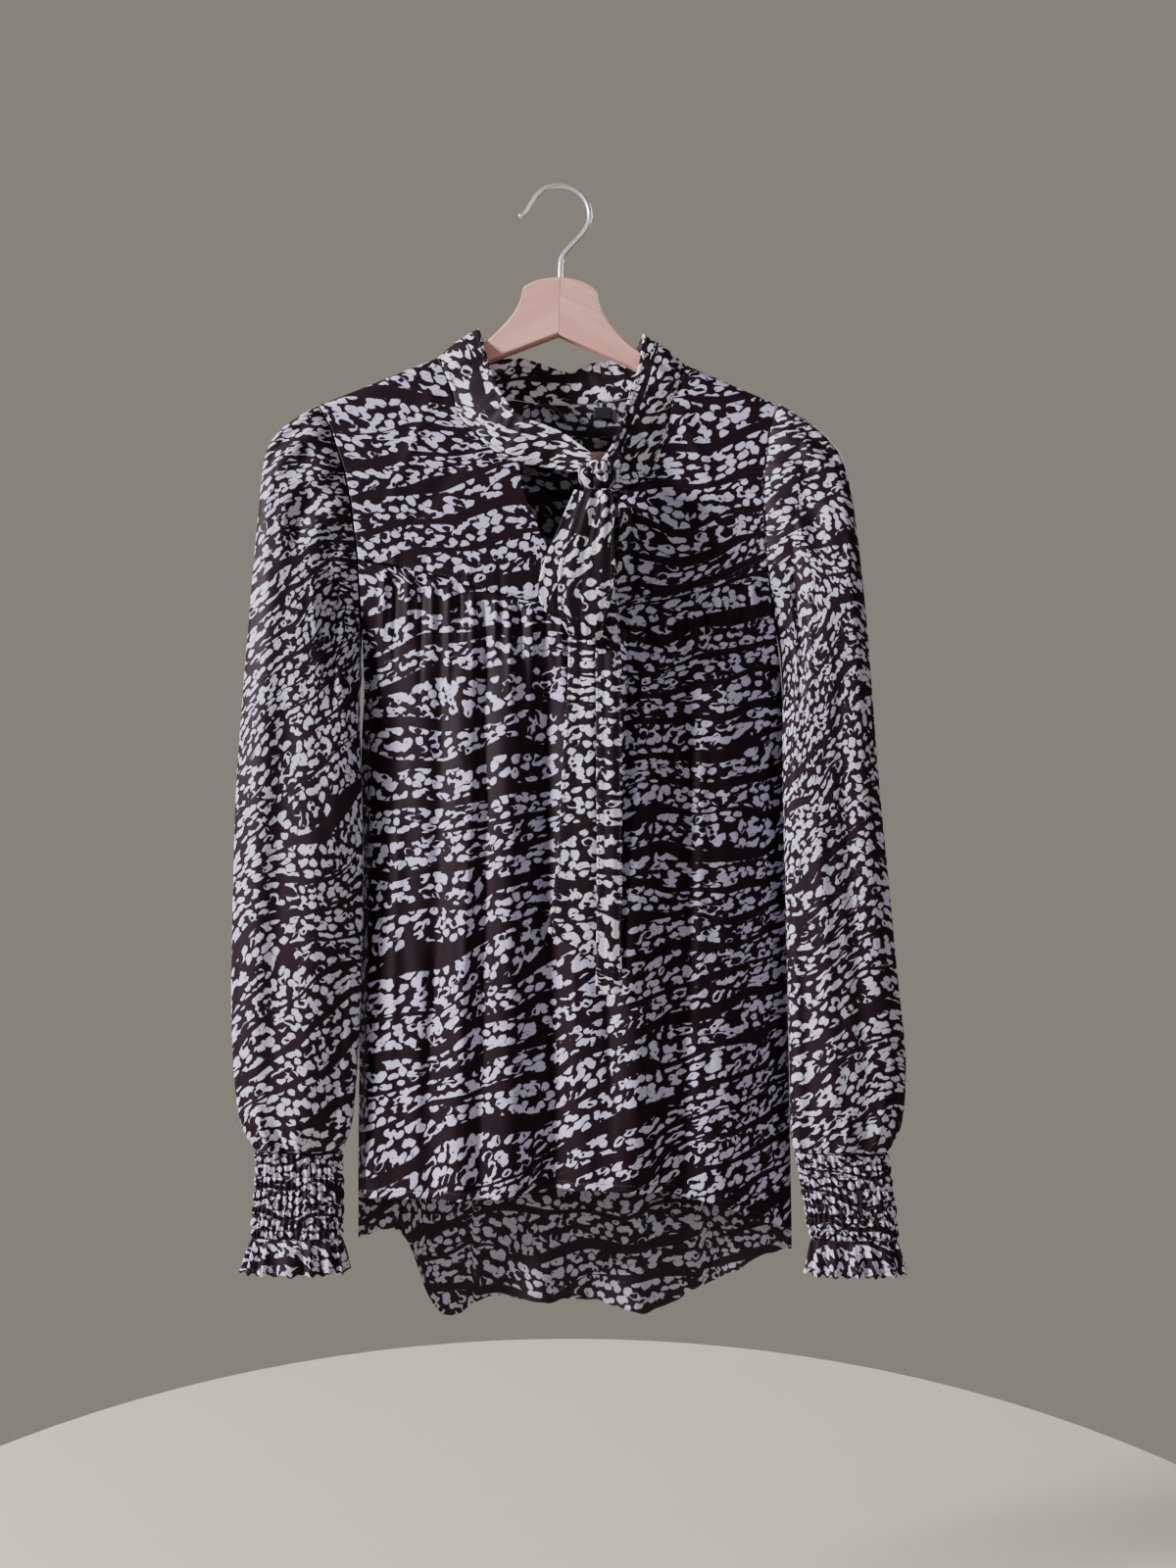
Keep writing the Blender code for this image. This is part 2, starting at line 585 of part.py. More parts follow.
def knot(parts):
    """The bow's knot: a rounded pad pinched by the band that wraps it."""
    bpy.ops.mesh.primitive_uv_sphere_add(segments=16, ring_count=10, radius=1)
    obj = bpy.context.object
    obj.name = "tie_knot"
    mesh = obj.data
    mesh.name = "tie_knot"
    points = np.empty(len(mesh.vertices) * 3)
    mesh.vertices.foreach_get("co", points)
    points = points.reshape(-1, 3)
    points = np.sign(points) * np.abs(points) ** 0.8
    pinch = 1 - 0.12 * np.cos(3 * np.arctan2(points[:, 2], points[:, 0])) * np.abs(points[:, 1])
    points = points * pinch[:, None] * np.array(KNOT_HALF) + np.array(KNOT_CENTRE)
    mesh.vertices.foreach_set("co", (points * MM).ravel())
    mesh.materials.append(material_named("print"))
    mesh.shade_smooth()
    for owner in obj.users_collection:
        owner.objects.unlink(obj)
    parts.objects.link(obj)


def slit_band(parts):
    """The narrow band on the slit's right edge, lying on the right yoke."""
    z = np.linspace(-240, -296, 8)[:, None]
    share = np.linspace(0, 1, 4)[None, :]
    slit = np.asarray(SLIT_RIGHT, float)
    left = np.interp(-z, -slit[:, 1], slit[:, 0]) + 0.3
    x = left + 9.5 * share
    z = z + 0 * share
    y = panel_y(x, z, -1) - 0.3 - 0.9
    grid = np.stack([x, y, z], -1)
    wall("slit_band", grid, inside_of(grid, 0.9), "print", parts)


def neck_label(parts):
    """A small bare label flat against the inside of the back."""
    z = np.linspace(NECK_LABEL["top"], NECK_LABEL["bottom"], 3)[:, None]
    x = np.linspace(NECK_LABEL["left"], NECK_LABEL["right"], 4)[None, :]
    x = x + 0 * z
    z = z + 0 * x
    y = panel_y(x, z, 1) - CLOTH - 0.5 - NECK_LABEL["thick"]
    grid = np.stack([x, y, z], -1)
    wall("neck_label", grid, inside_of(grid, NECK_LABEL["thick"]), "ribbon", parts)


def hang_loop(parts):
    """A narrow black ribbon arch inside the back neck."""
    run = along(HANG_LOOP, 13)
    tangent = np.gradient(run, axis=0)
    across = np.stack([-tangent[:, 1], tangent[:, 0]], -1)
    across /= np.linalg.norm(across, axis=1, keepdims=True)
    upper = run + across * LOOP_RIBBON / 2
    lower = run - across * LOOP_RIBBON / 2
    flat = np.stack([upper, lower])
    y = panel_y(flat[..., 0], flat[..., 1], 1) - CLOTH - 0.5 - 0.9
    grid = np.stack([flat[..., 0], y, flat[..., 1]], -1)
    wall("hang_loop", grid, inside_of(grid, 0.9), "ribbon", parts)


def arm_section(top, bottom):
    """An upright section with bevelled corners, as y and z round it."""
    half = HANGER_THICKNESS / 2
    cut = min(2.0, (top - bottom) * 0.3)
    return [
        (-half, bottom + cut), (-half, top - cut), (-half + cut, top), (half - cut, top),
        (half, top - cut), (half, bottom + cut), (half - cut, bottom), (-half + cut, bottom),
    ]


def hanger_arm(name, side, cutters, parts):
    """One half of the hanger, lofted from the mitre to its rounded end."""
    sections = [[(side * x, y, z) for y, z in arm_section(top, bottom)] for x, top, bottom in HANGER_ARM]
    grid = np.array(sections)
    columns = grid.shape[1]
    faces = quads(len(grid), columns, True)
    if side < 0:
        faces = faces[:, ::-1]
    points = grid.reshape(-1, 3)
    mesh_faces = faces.tolist()
    first = list(range(columns))
    last = [len(points) - columns + k for k in range(columns)]
    mesh_faces.append(first if side > 0 else first[::-1])
    mesh_faces.append(last[::-1] if side > 0 else last)
    mesh = bpy.data.meshes.new(name)
    mesh.from_pydata(((points - np.array([0, 0, HANGER_CENTRE[1]])) * MM).tolist(), [], mesh_faces)
    mesh.shade_smooth()
    mesh.set_sharp_from_angle(angle=math.radians(30))
    mesh.materials.append(material_named("wood"))
    obj = bpy.data.objects.new(name, mesh)
    obj.location = (HANGER_CENTRE[0] * MM, 0, HANGER_CENTRE[1] * MM)
    obj.rotation_euler = (0, HANGER_TILT, 0)
    parts.objects.link(obj)
    for cutter in cutters:
        cut = obj.modifiers.new(cutter.name, "BOOLEAN")
        cut.object = cutter
        cut.solver = "EXACT"


def rod(name, radius, half_length, parts, finish=None, sides=16):
    """A round rod lying along the hanger, tilted with it."""
    bpy.ops.mesh.primitive_cylinder_add(vertices=sides, radius=radius * MM, depth=2 * half_length * MM)
    obj = bpy.context.object
    obj.name = name
    obj.data.name = name
    drop = BAR_Z - HANGER_CENTRE[1]
    obj.location = (
        (HANGER_CENTRE[0] + drop * math.sin(HANGER_TILT)) * MM,
        0,
        (HANGER_CENTRE[1] + drop * math.cos(HANGER_TILT)) * MM,
    )
    obj.rotation_euler = (0, math.pi / 2 + HANGER_TILT, 0)
    for owner in obj.users_collection:
        owner.objects.unlink(obj)
    parts.objects.link(obj)
    if finish:
        obj.data.materials.append(material_named(finish))
        obj.data.shade_smooth()
        obj.data.set_sharp_from_angle(angle=math.radians(40))
    else:
        obj.hide_render = True
        obj.display_type = "WIRE"
    return obj


def shank_bore(cutters):
    """The hole in the hanger's head that the hook's shank stands in."""
    depth = SHANK_DEPTH + 8
    bpy.ops.mesh.primitive_cylinder_add(vertices=16, radius=(WIRE_RADIUS + BORE_GAP) * MM, depth=depth * MM)
    obj = bpy.context.object
    obj.name = "shank_bore"
    obj.location = (HANGER_CENTRE[0] * MM, 0, (HANGER_CENTRE[1] - SHANK_DEPTH + depth / 2) * MM)
    for owner in obj.users_collection:
        owner.objects.unlink(obj)
    cutters.objects.link(obj)
    obj.hide_render = True
    obj.display_type = "WIRE"
    return obj


def hook(parts):
    """The bent wire hook with a blunt tip."""
    run = along(HOOK, 26)
    curve = bpy.data.curves.new("hanger_hook", "CURVE")
    curve.dimensions = "3D"
    curve.bevel_depth = WIRE_RADIUS * MM
    curve.bevel_resolution = 2
    curve.use_fill_caps = True
    spline = curve.splines.new("POLY")
    spline.points.add(len(run) - 1)
    for point, (x, z) in zip(spline.points, run):
        point.co = (x * MM, 0, z * MM, 1)
    spline.points[-2].radius = 1.35
    spline.points[-1].radius = 1.2
    curve.materials.append(material_named("chrome"))
    obj = bpy.data.objects.new("hanger_hook", curve)
    parts.objects.link(obj)


def main():
    for obj in list(bpy.data.objects):
        bpy.data.objects.remove(obj)
    parts = bpy.data.collections.new("tie_neck_blouse")
    cutters = bpy.data.collections.new("cutters")
    bpy.context.scene.collection.children.link(parts)
    bpy.context.scene.collection.children.link(cutters)
    bar_bore = rod("bar_bore", BAR_RADIUS + BORE_GAP, BAR_HALF_LENGTH + BORE_GAP, cutters, sides=20)
    bores = [bar_bore, shank_bore(cutters)]
    hanger_arm("hanger_arm_left", -1, bores, parts)
    hanger_arm("hanger_arm_right", 1, bores, parts)
    rod("hanger_bar", BAR_RADIUS, BAR_HALF_LENGTH, parts, "wood")
    hook(parts)
    front_yoke("front_yoke_left", False, parts)
    front_yoke("front_yoke_right", True, parts)
    front_body(parts)
    back_body(parts)
    sleeve("sleeve_left", LEFT_SLEEVE, 1, parts)
    sleeve("sleeve_right", RIGHT_SLEEVE, 2, parts)
    cuff("cuff_left", LEFT_CUFF, parts)
    cuff("cuff_right", RIGHT_CUFF, parts)
    frill("cuff_frill_left", LEFT_FRILL, parts)
    frill("cuff_frill_right", RIGHT_FRILL, parts)
    neck_band(parts)
    slit_band(parts)
    knot(parts)
    strip("tie_loop_front", LOOP_FRONT, 23, 5, 1.4, parts)
    strip("tie_loop_rear", LOOP_REAR, 21, 5, 1.2, parts)
    strip("tie_tail_short", TAIL_SHORT, 15, 5, 1.2, parts, slant=SHORT_TAIL_SLANT)
    strip("tie_tail_long", TAIL_LONG, 14, 4, 1.2, parts)
    neck_label(parts)
    hang_loop(parts)


main()
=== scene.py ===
"""A tie neck blouse on a wooden hanger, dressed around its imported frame.

Tables and lengths are in millimetres; points are scaled to metres as each mesh is made.
The front faces -Y, +Z is up, and the origin is where the hook hangs.
"""

from __future__ import annotations

import json
import logging
import math
from dataclasses import dataclass, field
from enum import Enum
from typing import Sequence

import bmesh
import bpy
import numpy as np
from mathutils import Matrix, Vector
from numpy.typing import NDArray

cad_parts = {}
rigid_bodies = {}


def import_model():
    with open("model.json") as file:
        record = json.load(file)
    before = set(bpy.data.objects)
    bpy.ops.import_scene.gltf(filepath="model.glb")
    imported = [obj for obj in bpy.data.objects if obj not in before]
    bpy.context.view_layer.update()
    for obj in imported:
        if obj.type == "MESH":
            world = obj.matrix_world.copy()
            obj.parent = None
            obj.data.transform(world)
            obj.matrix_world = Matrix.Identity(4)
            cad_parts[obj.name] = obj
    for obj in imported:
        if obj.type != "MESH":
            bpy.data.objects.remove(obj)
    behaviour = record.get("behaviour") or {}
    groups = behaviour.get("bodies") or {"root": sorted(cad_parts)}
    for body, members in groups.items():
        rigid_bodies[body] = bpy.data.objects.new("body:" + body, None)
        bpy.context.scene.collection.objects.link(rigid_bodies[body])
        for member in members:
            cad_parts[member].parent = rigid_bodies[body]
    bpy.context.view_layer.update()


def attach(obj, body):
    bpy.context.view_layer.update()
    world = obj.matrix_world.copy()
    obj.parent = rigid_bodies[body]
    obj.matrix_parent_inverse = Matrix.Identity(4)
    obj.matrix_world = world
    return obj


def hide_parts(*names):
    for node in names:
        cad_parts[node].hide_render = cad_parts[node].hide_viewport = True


Array = NDArray[np.float64]
Rows = Sequence[Sequence[float]]
Point = tuple[float, float, float]
Colour = Point
Pair = tuple[float, float]
Material = bpy.types.Material
Piece = bpy.types.Object
Socket = bpy.types.NodeSocket

MM = 0.001
SHELL = 0.6
SEAM_GAP = 0.3
HALF_GAP = SEAM_GAP / 2
SLIT_RIGHT: Rows = ((48, -228), (44, -234), (43.5, -262), (41, -290), (26, -305), (0, -311))
LOG = logging.getLogger("blouse")


class Hand(Enum):
    """Left or right as seen from the front, as the sign of x."""

    LEFT = -1
    RIGHT = 1


def smooth(t: Array) -> Array:
    """3t^2 - 2t^3: 0 to 1 with soft ends."""
    t = np.clip(t, 0.0, 1.0)
    return t * t * (3 - 2 * t)


def both_ends(share: Array, first: float, last: float | None = None) -> Array:
    """1 between the ends, falling softly to 0 over a first and a last stretch."""
    return smooth(share / first) * smooth((1 - share) / (last or first))


def bent(x: Array, power: float) -> Array:
    """A power that keeps the sign."""
    return np.sign(x) * np.abs(x) ** power


def hump(x: Array, middle: Array | float, half: Array | float) -> Array:
    """A bell of height 1: e to the minus square of the distance over the half width."""
    return np.exp(-(((x - middle) / half) ** 2))


def through(keys: Array, values: Array, at: Array) -> Array:
    """A smooth curve through rows of values.

    The cubic Hermite form, with each slope the gradient of its neighbours.

    Args:
        keys: rising key of each row.
        values: one value or one row of values for each key.
        at: keys to read the curve at.

    Returns:
        The values there.
    """
    keys = np.asarray(keys, float)
    values = np.asarray(values, float)
    at = np.clip(np.asarray(at, float), keys[0], keys[-1])
    slopes = np.gradient(values, keys, axis=0)
    row = np.clip(np.searchsorted(keys, at, side="right") - 1, 0, len(keys) - 2)
    step = keys[row + 1] - keys[row]
    t = (at - keys[row]) / step
    if values.ndim > 1:
        t = t[..., None]
        step = step[..., None]
    start = (2 * t**3 - 3 * t**2 + 1) * values[row] + (t**3 - 2 * t**2 + t) * slopes[row] * step
    end = (3 * t**2 - 2 * t**3) * values[row + 1] + (t**3 - t**2) * slopes[row + 1] * step
    return start + end


def along(rows: Rows, count: int) -> Array:
    """The rows of a table read at even steps of their index."""
    return through(np.arange(len(rows)), np.asarray(rows, float), np.linspace(0, len(rows) - 1, count))


def by_height(table: Rows, column: int, z: Array) -> Array:
    """One column of a table whose first column is a falling height."""
    rows = np.asarray(table, float)
    return np.interp(-np.asarray(z, float), -rows[:, 0], rows[:, column])


def eased_ends(count: int) -> Array:
    """Shares from 0 to 1, closer together near both ends."""
    even = np.linspace(0, 1, count)
    return 0.55 * even + 0.45 * (1 - np.cos(np.pi * even)) / 2


def unit(vectors: Array) -> Array:
    """Vectors over their own lengths."""
    return vectors / np.maximum(np.linalg.norm(vectors, axis=-1, keepdims=True), 1e-9)


def ragged(x: Array, pitch: float, seed: float) -> Array:
    """An uneven wave between about -1 and 1: three sines whose pitches share no ratio."""
    turn = 2 * np.pi * x / pitch
    quick, slow = np.sin(1.71 * turn + 2.3 * seed), np.sin(0.59 * turn + 4.1 * seed)
    return 0.5 * np.sin(turn + seed) + 0.3 * quick + 0.2 * slow


@dataclass
class Surface:
    """A grid of points in millimetres, rows going down and columns across.

    Args:
        points: rows by columns by three.
        wraps: whether the last column joins the first.
        grain: the cloth's own coordinates in metres, one column more where it wraps.
    """

    points: Array
    wraps: bool = False
    grain: Array = field(default_factory=lambda: np.zeros(0))

    def __post_init__(self) -> None:
        """Measures the grain where none is given."""
        if not self.grain.size:
            self.grain = self.measured()

    def measured(self) -> Array:
        """Lengths along the cloth: across from the middle column, down from the top row's height."""
        closed = np.concatenate([self.points, self.points[:, :1]], 1) if self.wraps else self.points
        across = np.linalg.norm(np.diff(closed, axis=1), axis=-1)
        across = np.concatenate([np.zeros_like(across[:, :1]), np.cumsum(across, axis=1)], 1)
        middle = closed.shape[1] // 2
        across = across - across[:, middle : middle + 1] + closed[:, middle : middle + 1, 0].mean()
        down = np.linalg.norm(np.diff(closed, axis=0), axis=-1)
        down = np.concatenate([np.zeros_like(down[:1]), np.cumsum(down, axis=0)], 0)
        return np.stack([across, closed[:1, :, 2] - down], -1) * MM

    def normals(self) -> Array:
        """Outward unit normals: the slope down crossed with the slope across."""
        if self.wraps:
            wide = np.concatenate([self.points[:, -1:], self.points, self.points[:, :1]], 1)
            across = wide[:, 2:] - wide[:, :-2]
        else:
            across = np.gradient(self.points, axis=1)
        return unit(np.cross(np.gradient(self.points, axis=0), across))

    def raised(self, height: Array | float) -> Surface:
        """The surface moved out along its normals by a height at each point."""
        lift = np.broadcast_to(np.asarray(height, float), self.points.shape[:2])
        return Surface(self.points + self.normals() * lift[..., None], self.wraps, self.grain)

    def turned(self, degrees: float, shift: Pair = (0.0, 0.0)) -> Surface:
        """The same surface with its print turned about the grain's origin, then shifted in metres."""
        turn = math.radians(degrees)
        u, v = self.grain[..., 0], self.grain[..., 1]
        along_u = u * math.cos(turn) + v * math.sin(turn) + shift[0]
        along_v = v * math.cos(turn) - u * math.sin(turn) + shift[1]
        return Surface(self.points, self.wraps, np.stack([along_u, along_v], -1))

    def at(self, row: Array, column: Array, lift: float = 0.0) -> Array:
        """Points between the grid's own, moved out by a lift, by mixing the four corners."""
        source = self.raised(lift).points if lift else self.points
        if self.wraps:
            source = np.concatenate([source, source[:, :1]], 1)
        r = np.clip(np.asarray(row, float), 0, source.shape[0] - 1.001)
        c = np.clip(np.asarray(column, float), 0, source.shape[1] - 1.001)
        r0, c0 = r.astype(int), c.astype(int)
        fr, fc = (r - r0)[..., None], (c - c0)[..., None]
        upper = source[r0, c0] * (1 - fc) + source[r0, c0 + 1] * fc
        lower = source[r0 + 1, c0] * (1 - fc) + source[r0 + 1, c0 + 1] * fc
        return upper * (1 - fr) + lower * fr

    def line_across(self, above_end: float, start: float, stop: float, count: int) -> Array:
        """A line just proud of the cloth, near its last row.

        Args:
            above_end: rows above the end.
            start: columns left out at the first side.
            stop: columns left out at the last side.
            count: points of the line.

        Returns:
            The line's points.
        """
        rows, columns = self.points.shape[:2]
        return self.at(np.full(count, rows - above_end), np.linspace(start, columns - stop, count), 0.12)

    def corners(self) -> Array:
        """Corner numbers of the grid's faces, turned so that they point out."""
        rows, columns = self.points.shape[:2]
        last = columns if self.wraps else columns - 1
        r, c = np.meshgrid(np.arange(rows - 1), np.arange(last), indexing="ij")
        d = (c + 1) % columns
        here, below = r * columns, (r + 1) * columns
        return np.stack([here + c, below + c, below + d, here + d], -1).reshape(-1, 4)

    def corner_grain(self) -> Array:
        """The grain at each corner of each face, in the order of corners()."""
        g = self.grain
        return np.stack([g[:-1, :-1], g[1:, :-1], g[1:, 1:], g[:-1, 1:]], 2).reshape(-1, 4, 2)


def mesh_object(
    name: str, points: Array, faces: Array, finish: Material, grain: Array | None = None
) -> Piece:
    """A shaded mesh object at the origin.

    Args:
        name: the piece's name.
        points: its points in millimetres.
        faces: corner numbers, all with the same count of corners.
        finish: its material.
        grain: cloth coordinates for each corner of each face, if it has any.

    Returns:
        The new object, linked to the scene.
    """
    mesh = bpy.data.meshes.new(name)
    mesh.from_pydata((np.asarray(points) * MM).tolist(), [], np.asarray(faces).tolist())
    if grain is not None:
        mesh.uv_layers.new(name="grain").data.foreach_set("uv", grain.astype(np.float32).ravel())
    mesh.shade_smooth()
    mesh.materials.append(finish)
    obj = bpy.data.objects.new(name, mesh)
    bpy.context.scene.collection.objects.link(obj)
    return obj


def shell(name: str, outer: Surface, finish: Material, thick: float = SHELL) -> Piece:
    """A closed cloth shell: the surface, the same moved in by its thickness, and the rims between.

    Args:
        name: the piece's name.
        outer: its outside.
        finish: its cloth.
        thick: the shell's thickness in millimetres.

    Returns:
        The new object.
    """
    rows, columns = outer.points.shape[:2]
    count = rows * columns
    inner = outer.raised(-thick)
    turn = np.arange(columns + 1) % columns if outer.wraps else np.arange(columns)
    bottom = (rows - 1) * columns
    edges = [
        (turn + count, turn, outer.grain[0]),
        (bottom + turn, count + bottom + turn, outer.grain[-1]),
    ]
    if not outer.wraps:
        side = np.arange(rows) * columns
        edges.append((side, side + count, outer.grain[:, 0]))
        edges.append((side + count + columns - 1, side + columns - 1, outer.grain[:, -1]))
    faces = [outer.corners(), outer.corners()[:, ::-1] + count]
    grain = [outer.corner_grain(), outer.corner_grain()[:, ::-1]]
    for first, second, line in edges:
        faces.append(np.stack([first[:-1], second[:-1], second[1:], first[1:]], -1))
        grain.append(np.stack([line[:-1], line[:-1], line[1:], line[1:]], 1))
    points = np.concatenate([outer.points.reshape(-1, 3), inner.points.reshape(-1, 3)])
    return mesh_object(name, points, np.concatenate(faces), finish, np.concatenate(grain))


def tube(name: str, run: Array, radii: Array, finish: Material, sides: int = 20) -> Piece:
    """A round tube in the plane of y = 0, closed to a point at both ends.

    Each ring stands across the run: the run's left-hand normal and y span it.

    Args:
        name: the piece's name.
        run: centre line as x and z.
        radii: the radius at each point of the run.
        finish: its material.
        sides: corners of a ring.

    Returns:
        The new object.
    """
    slope = unit(np.gradient(run, axis=0))
    across = np.stack([-slope[:, 1], slope[:, 0]], -1)
    turn = np.linspace(0, 2 * np.pi, sides, endpoint=False)
    flat = run[:, None] + across[:, None] * (radii[:, None] * np.cos(turn))[..., None]
    y = radii[:, None] * np.sin(turn)
    rings = np.stack([flat[..., 0], y, flat[..., 1]], -1)
    surface = Surface(rings, wraps=True)
    faces = surface.corners()
    obj = mesh_object(name, rings.reshape(-1, 3), faces, finish, surface.corner_grain())
    outward(obj)
    return obj


def outward(obj: Piece) -> None:
    """Merges doubled points and turns every face of a closed mesh outwards."""
    work = bmesh.new()
    work.from_mesh(obj.data)
    bmesh.ops.remove_doubles(work, verts=work.verts, dist=1e-7)
    bmesh.ops.recalc_face_normals(work, faces=work.faces)
    work.to_mesh(obj.data)
    work.free()


class Weave:
    """A material's node tree, with one short method for each node that the finishes use."""

    def __init__(self, name: str) -> None:
        """Starts a material with a Principled shader."""
        self.material = bpy.data.materials.new(name)
        self.material.use_nodes = True
        self.tree = self.material.node_tree
        self.shader = self.tree.nodes["Principled BSDF"]

    def node(self, kind: str, **settings: object) -> bpy.types.Node:
        """A new node with its settings."""
        made = self.tree.nodes.new(kind)
        for key, value in settings.items():
            setattr(made, key, value)
        return made

    def feed(self, socket: Socket, value: object) -> None:
        """Links a socket into another, or sets a plain value on it."""
        if isinstance(value, Socket):
            self.tree.links.new(value, socket)
        else:
            socket.default_value = value

    def math(self, operation: str, a: object, b: object = 0.0, c: object = 0.0) -> Socket:
        """A Math node's result."""
        made = self.node("ShaderNodeMath", operation=operation)
        for socket, value in zip(made.inputs, (a, b, c)):
            self.feed(socket, value)
        return made.outputs[0]

    def vector(self, operation: str, a: object, b: object = (0.0, 0.0, 0.0)) -> Socket:
        """A Vector Math node's vector."""
        made = self.node("ShaderNodeVectorMath", operation=operation)
        self.feed(made.inputs[0], a)
        self.feed(made.inputs[3] if operation == "SCALE" else made.inputs[1], b)
        return made.outputs[0]

    def noise(self, at: object, scale: float, detail: float = 2.0, colour: bool = False) -> Socket:
        """A Noise texture's height, or its colour as a vector."""
        made = self.node("ShaderNodeTexNoise")
        self.feed(made.inputs["Vector"], at)
        made.inputs["Scale"].default_value = scale
        made.inputs["Detail"].default_value = detail
        return made.outputs["Color" if colour else "Fac"]

    def swing(self, at: object, scale: float, reach: float) -> Socket:
        """Noise about 0, times a reach."""
        return self.math("MULTIPLY", self.math("SUBTRACT", self.noise(at, scale, 1.0), 0.5), reach)

    def drift(self, at: object, scale: float, reach: float, detail: float = 1.0) -> Socket:
        """A vector of noise about 0, times a reach."""
        noise = self.noise(at, scale, detail, colour=True)
        return self.vector("SCALE", self.vector("SUBTRACT", noise, (0.5, 0.5, 0.5)), reach)

    def parts(self, at: object) -> bpy.types.NodeOutputs:
        """The x, y and z of a vector."""
        made = self.node("ShaderNodeSeparateXYZ")
        self.feed(made.inputs[0], at)
        return made.outputs

    def cells(self, at: object, feature: str) -> bpy.types.Node:
        """A flat Voronoi texture with cells of size 1."""
        made = self.node("ShaderNodeTexVoronoi", voronoi_dimensions="2D", feature=feature)
        self.feed(made.inputs["Vector"], at)
        made.inputs["Scale"].default_value = 1.0
        return made

    def ranged(self, value: object, low: float, high: float, to: Pair = (0.0, 1.0)) -> Socket:
        """A value carried softly from one range to another."""
        made = self.node("ShaderNodeMapRange", interpolation_type="SMOOTHSTEP")
        for socket, part in zip(made.inputs, (value, low, high, *to)):
            self.feed(socket, part)
        return made.outputs[0]

    def mixed(self, share: object, a: object, b: object) -> Socket:
        """Two colours mixed by a share."""
        made = self.node("ShaderNodeMix", data_type="RGBA")
        self.feed(made.inputs[0], share)
        self.feed(made.inputs[6], (*a, 1.0) if isinstance(a, tuple) else a)
        self.feed(made.inputs[7], (*b, 1.0) if isinstance(b, tuple) else b)
        return made.outputs[2]

    def relief(self, height: object, depth: float, strength: float) -> None:
        """Feeds a height to the shader as bump of a depth in metres."""
        made = self.node("ShaderNodeBump")
        self.feed(made.inputs["Height"], height)
        made.inputs["Distance"].default_value = depth
        made.inputs["Strength"].default_value = strength
        self.feed(self.shader.inputs["Normal"], made.outputs[0])

    def set(self, **sockets: object) -> None:
        """Sets or links the shader's sockets, named with underscores for spaces."""
        for key, value in sockets.items():
            self.feed(self.shader.inputs[key.replace("_", " ")], value)


def times(colour: Colour, factor: float) -> Colour:
    """A colour made lighter or darker."""
    return tuple(factor * part for part in colour)


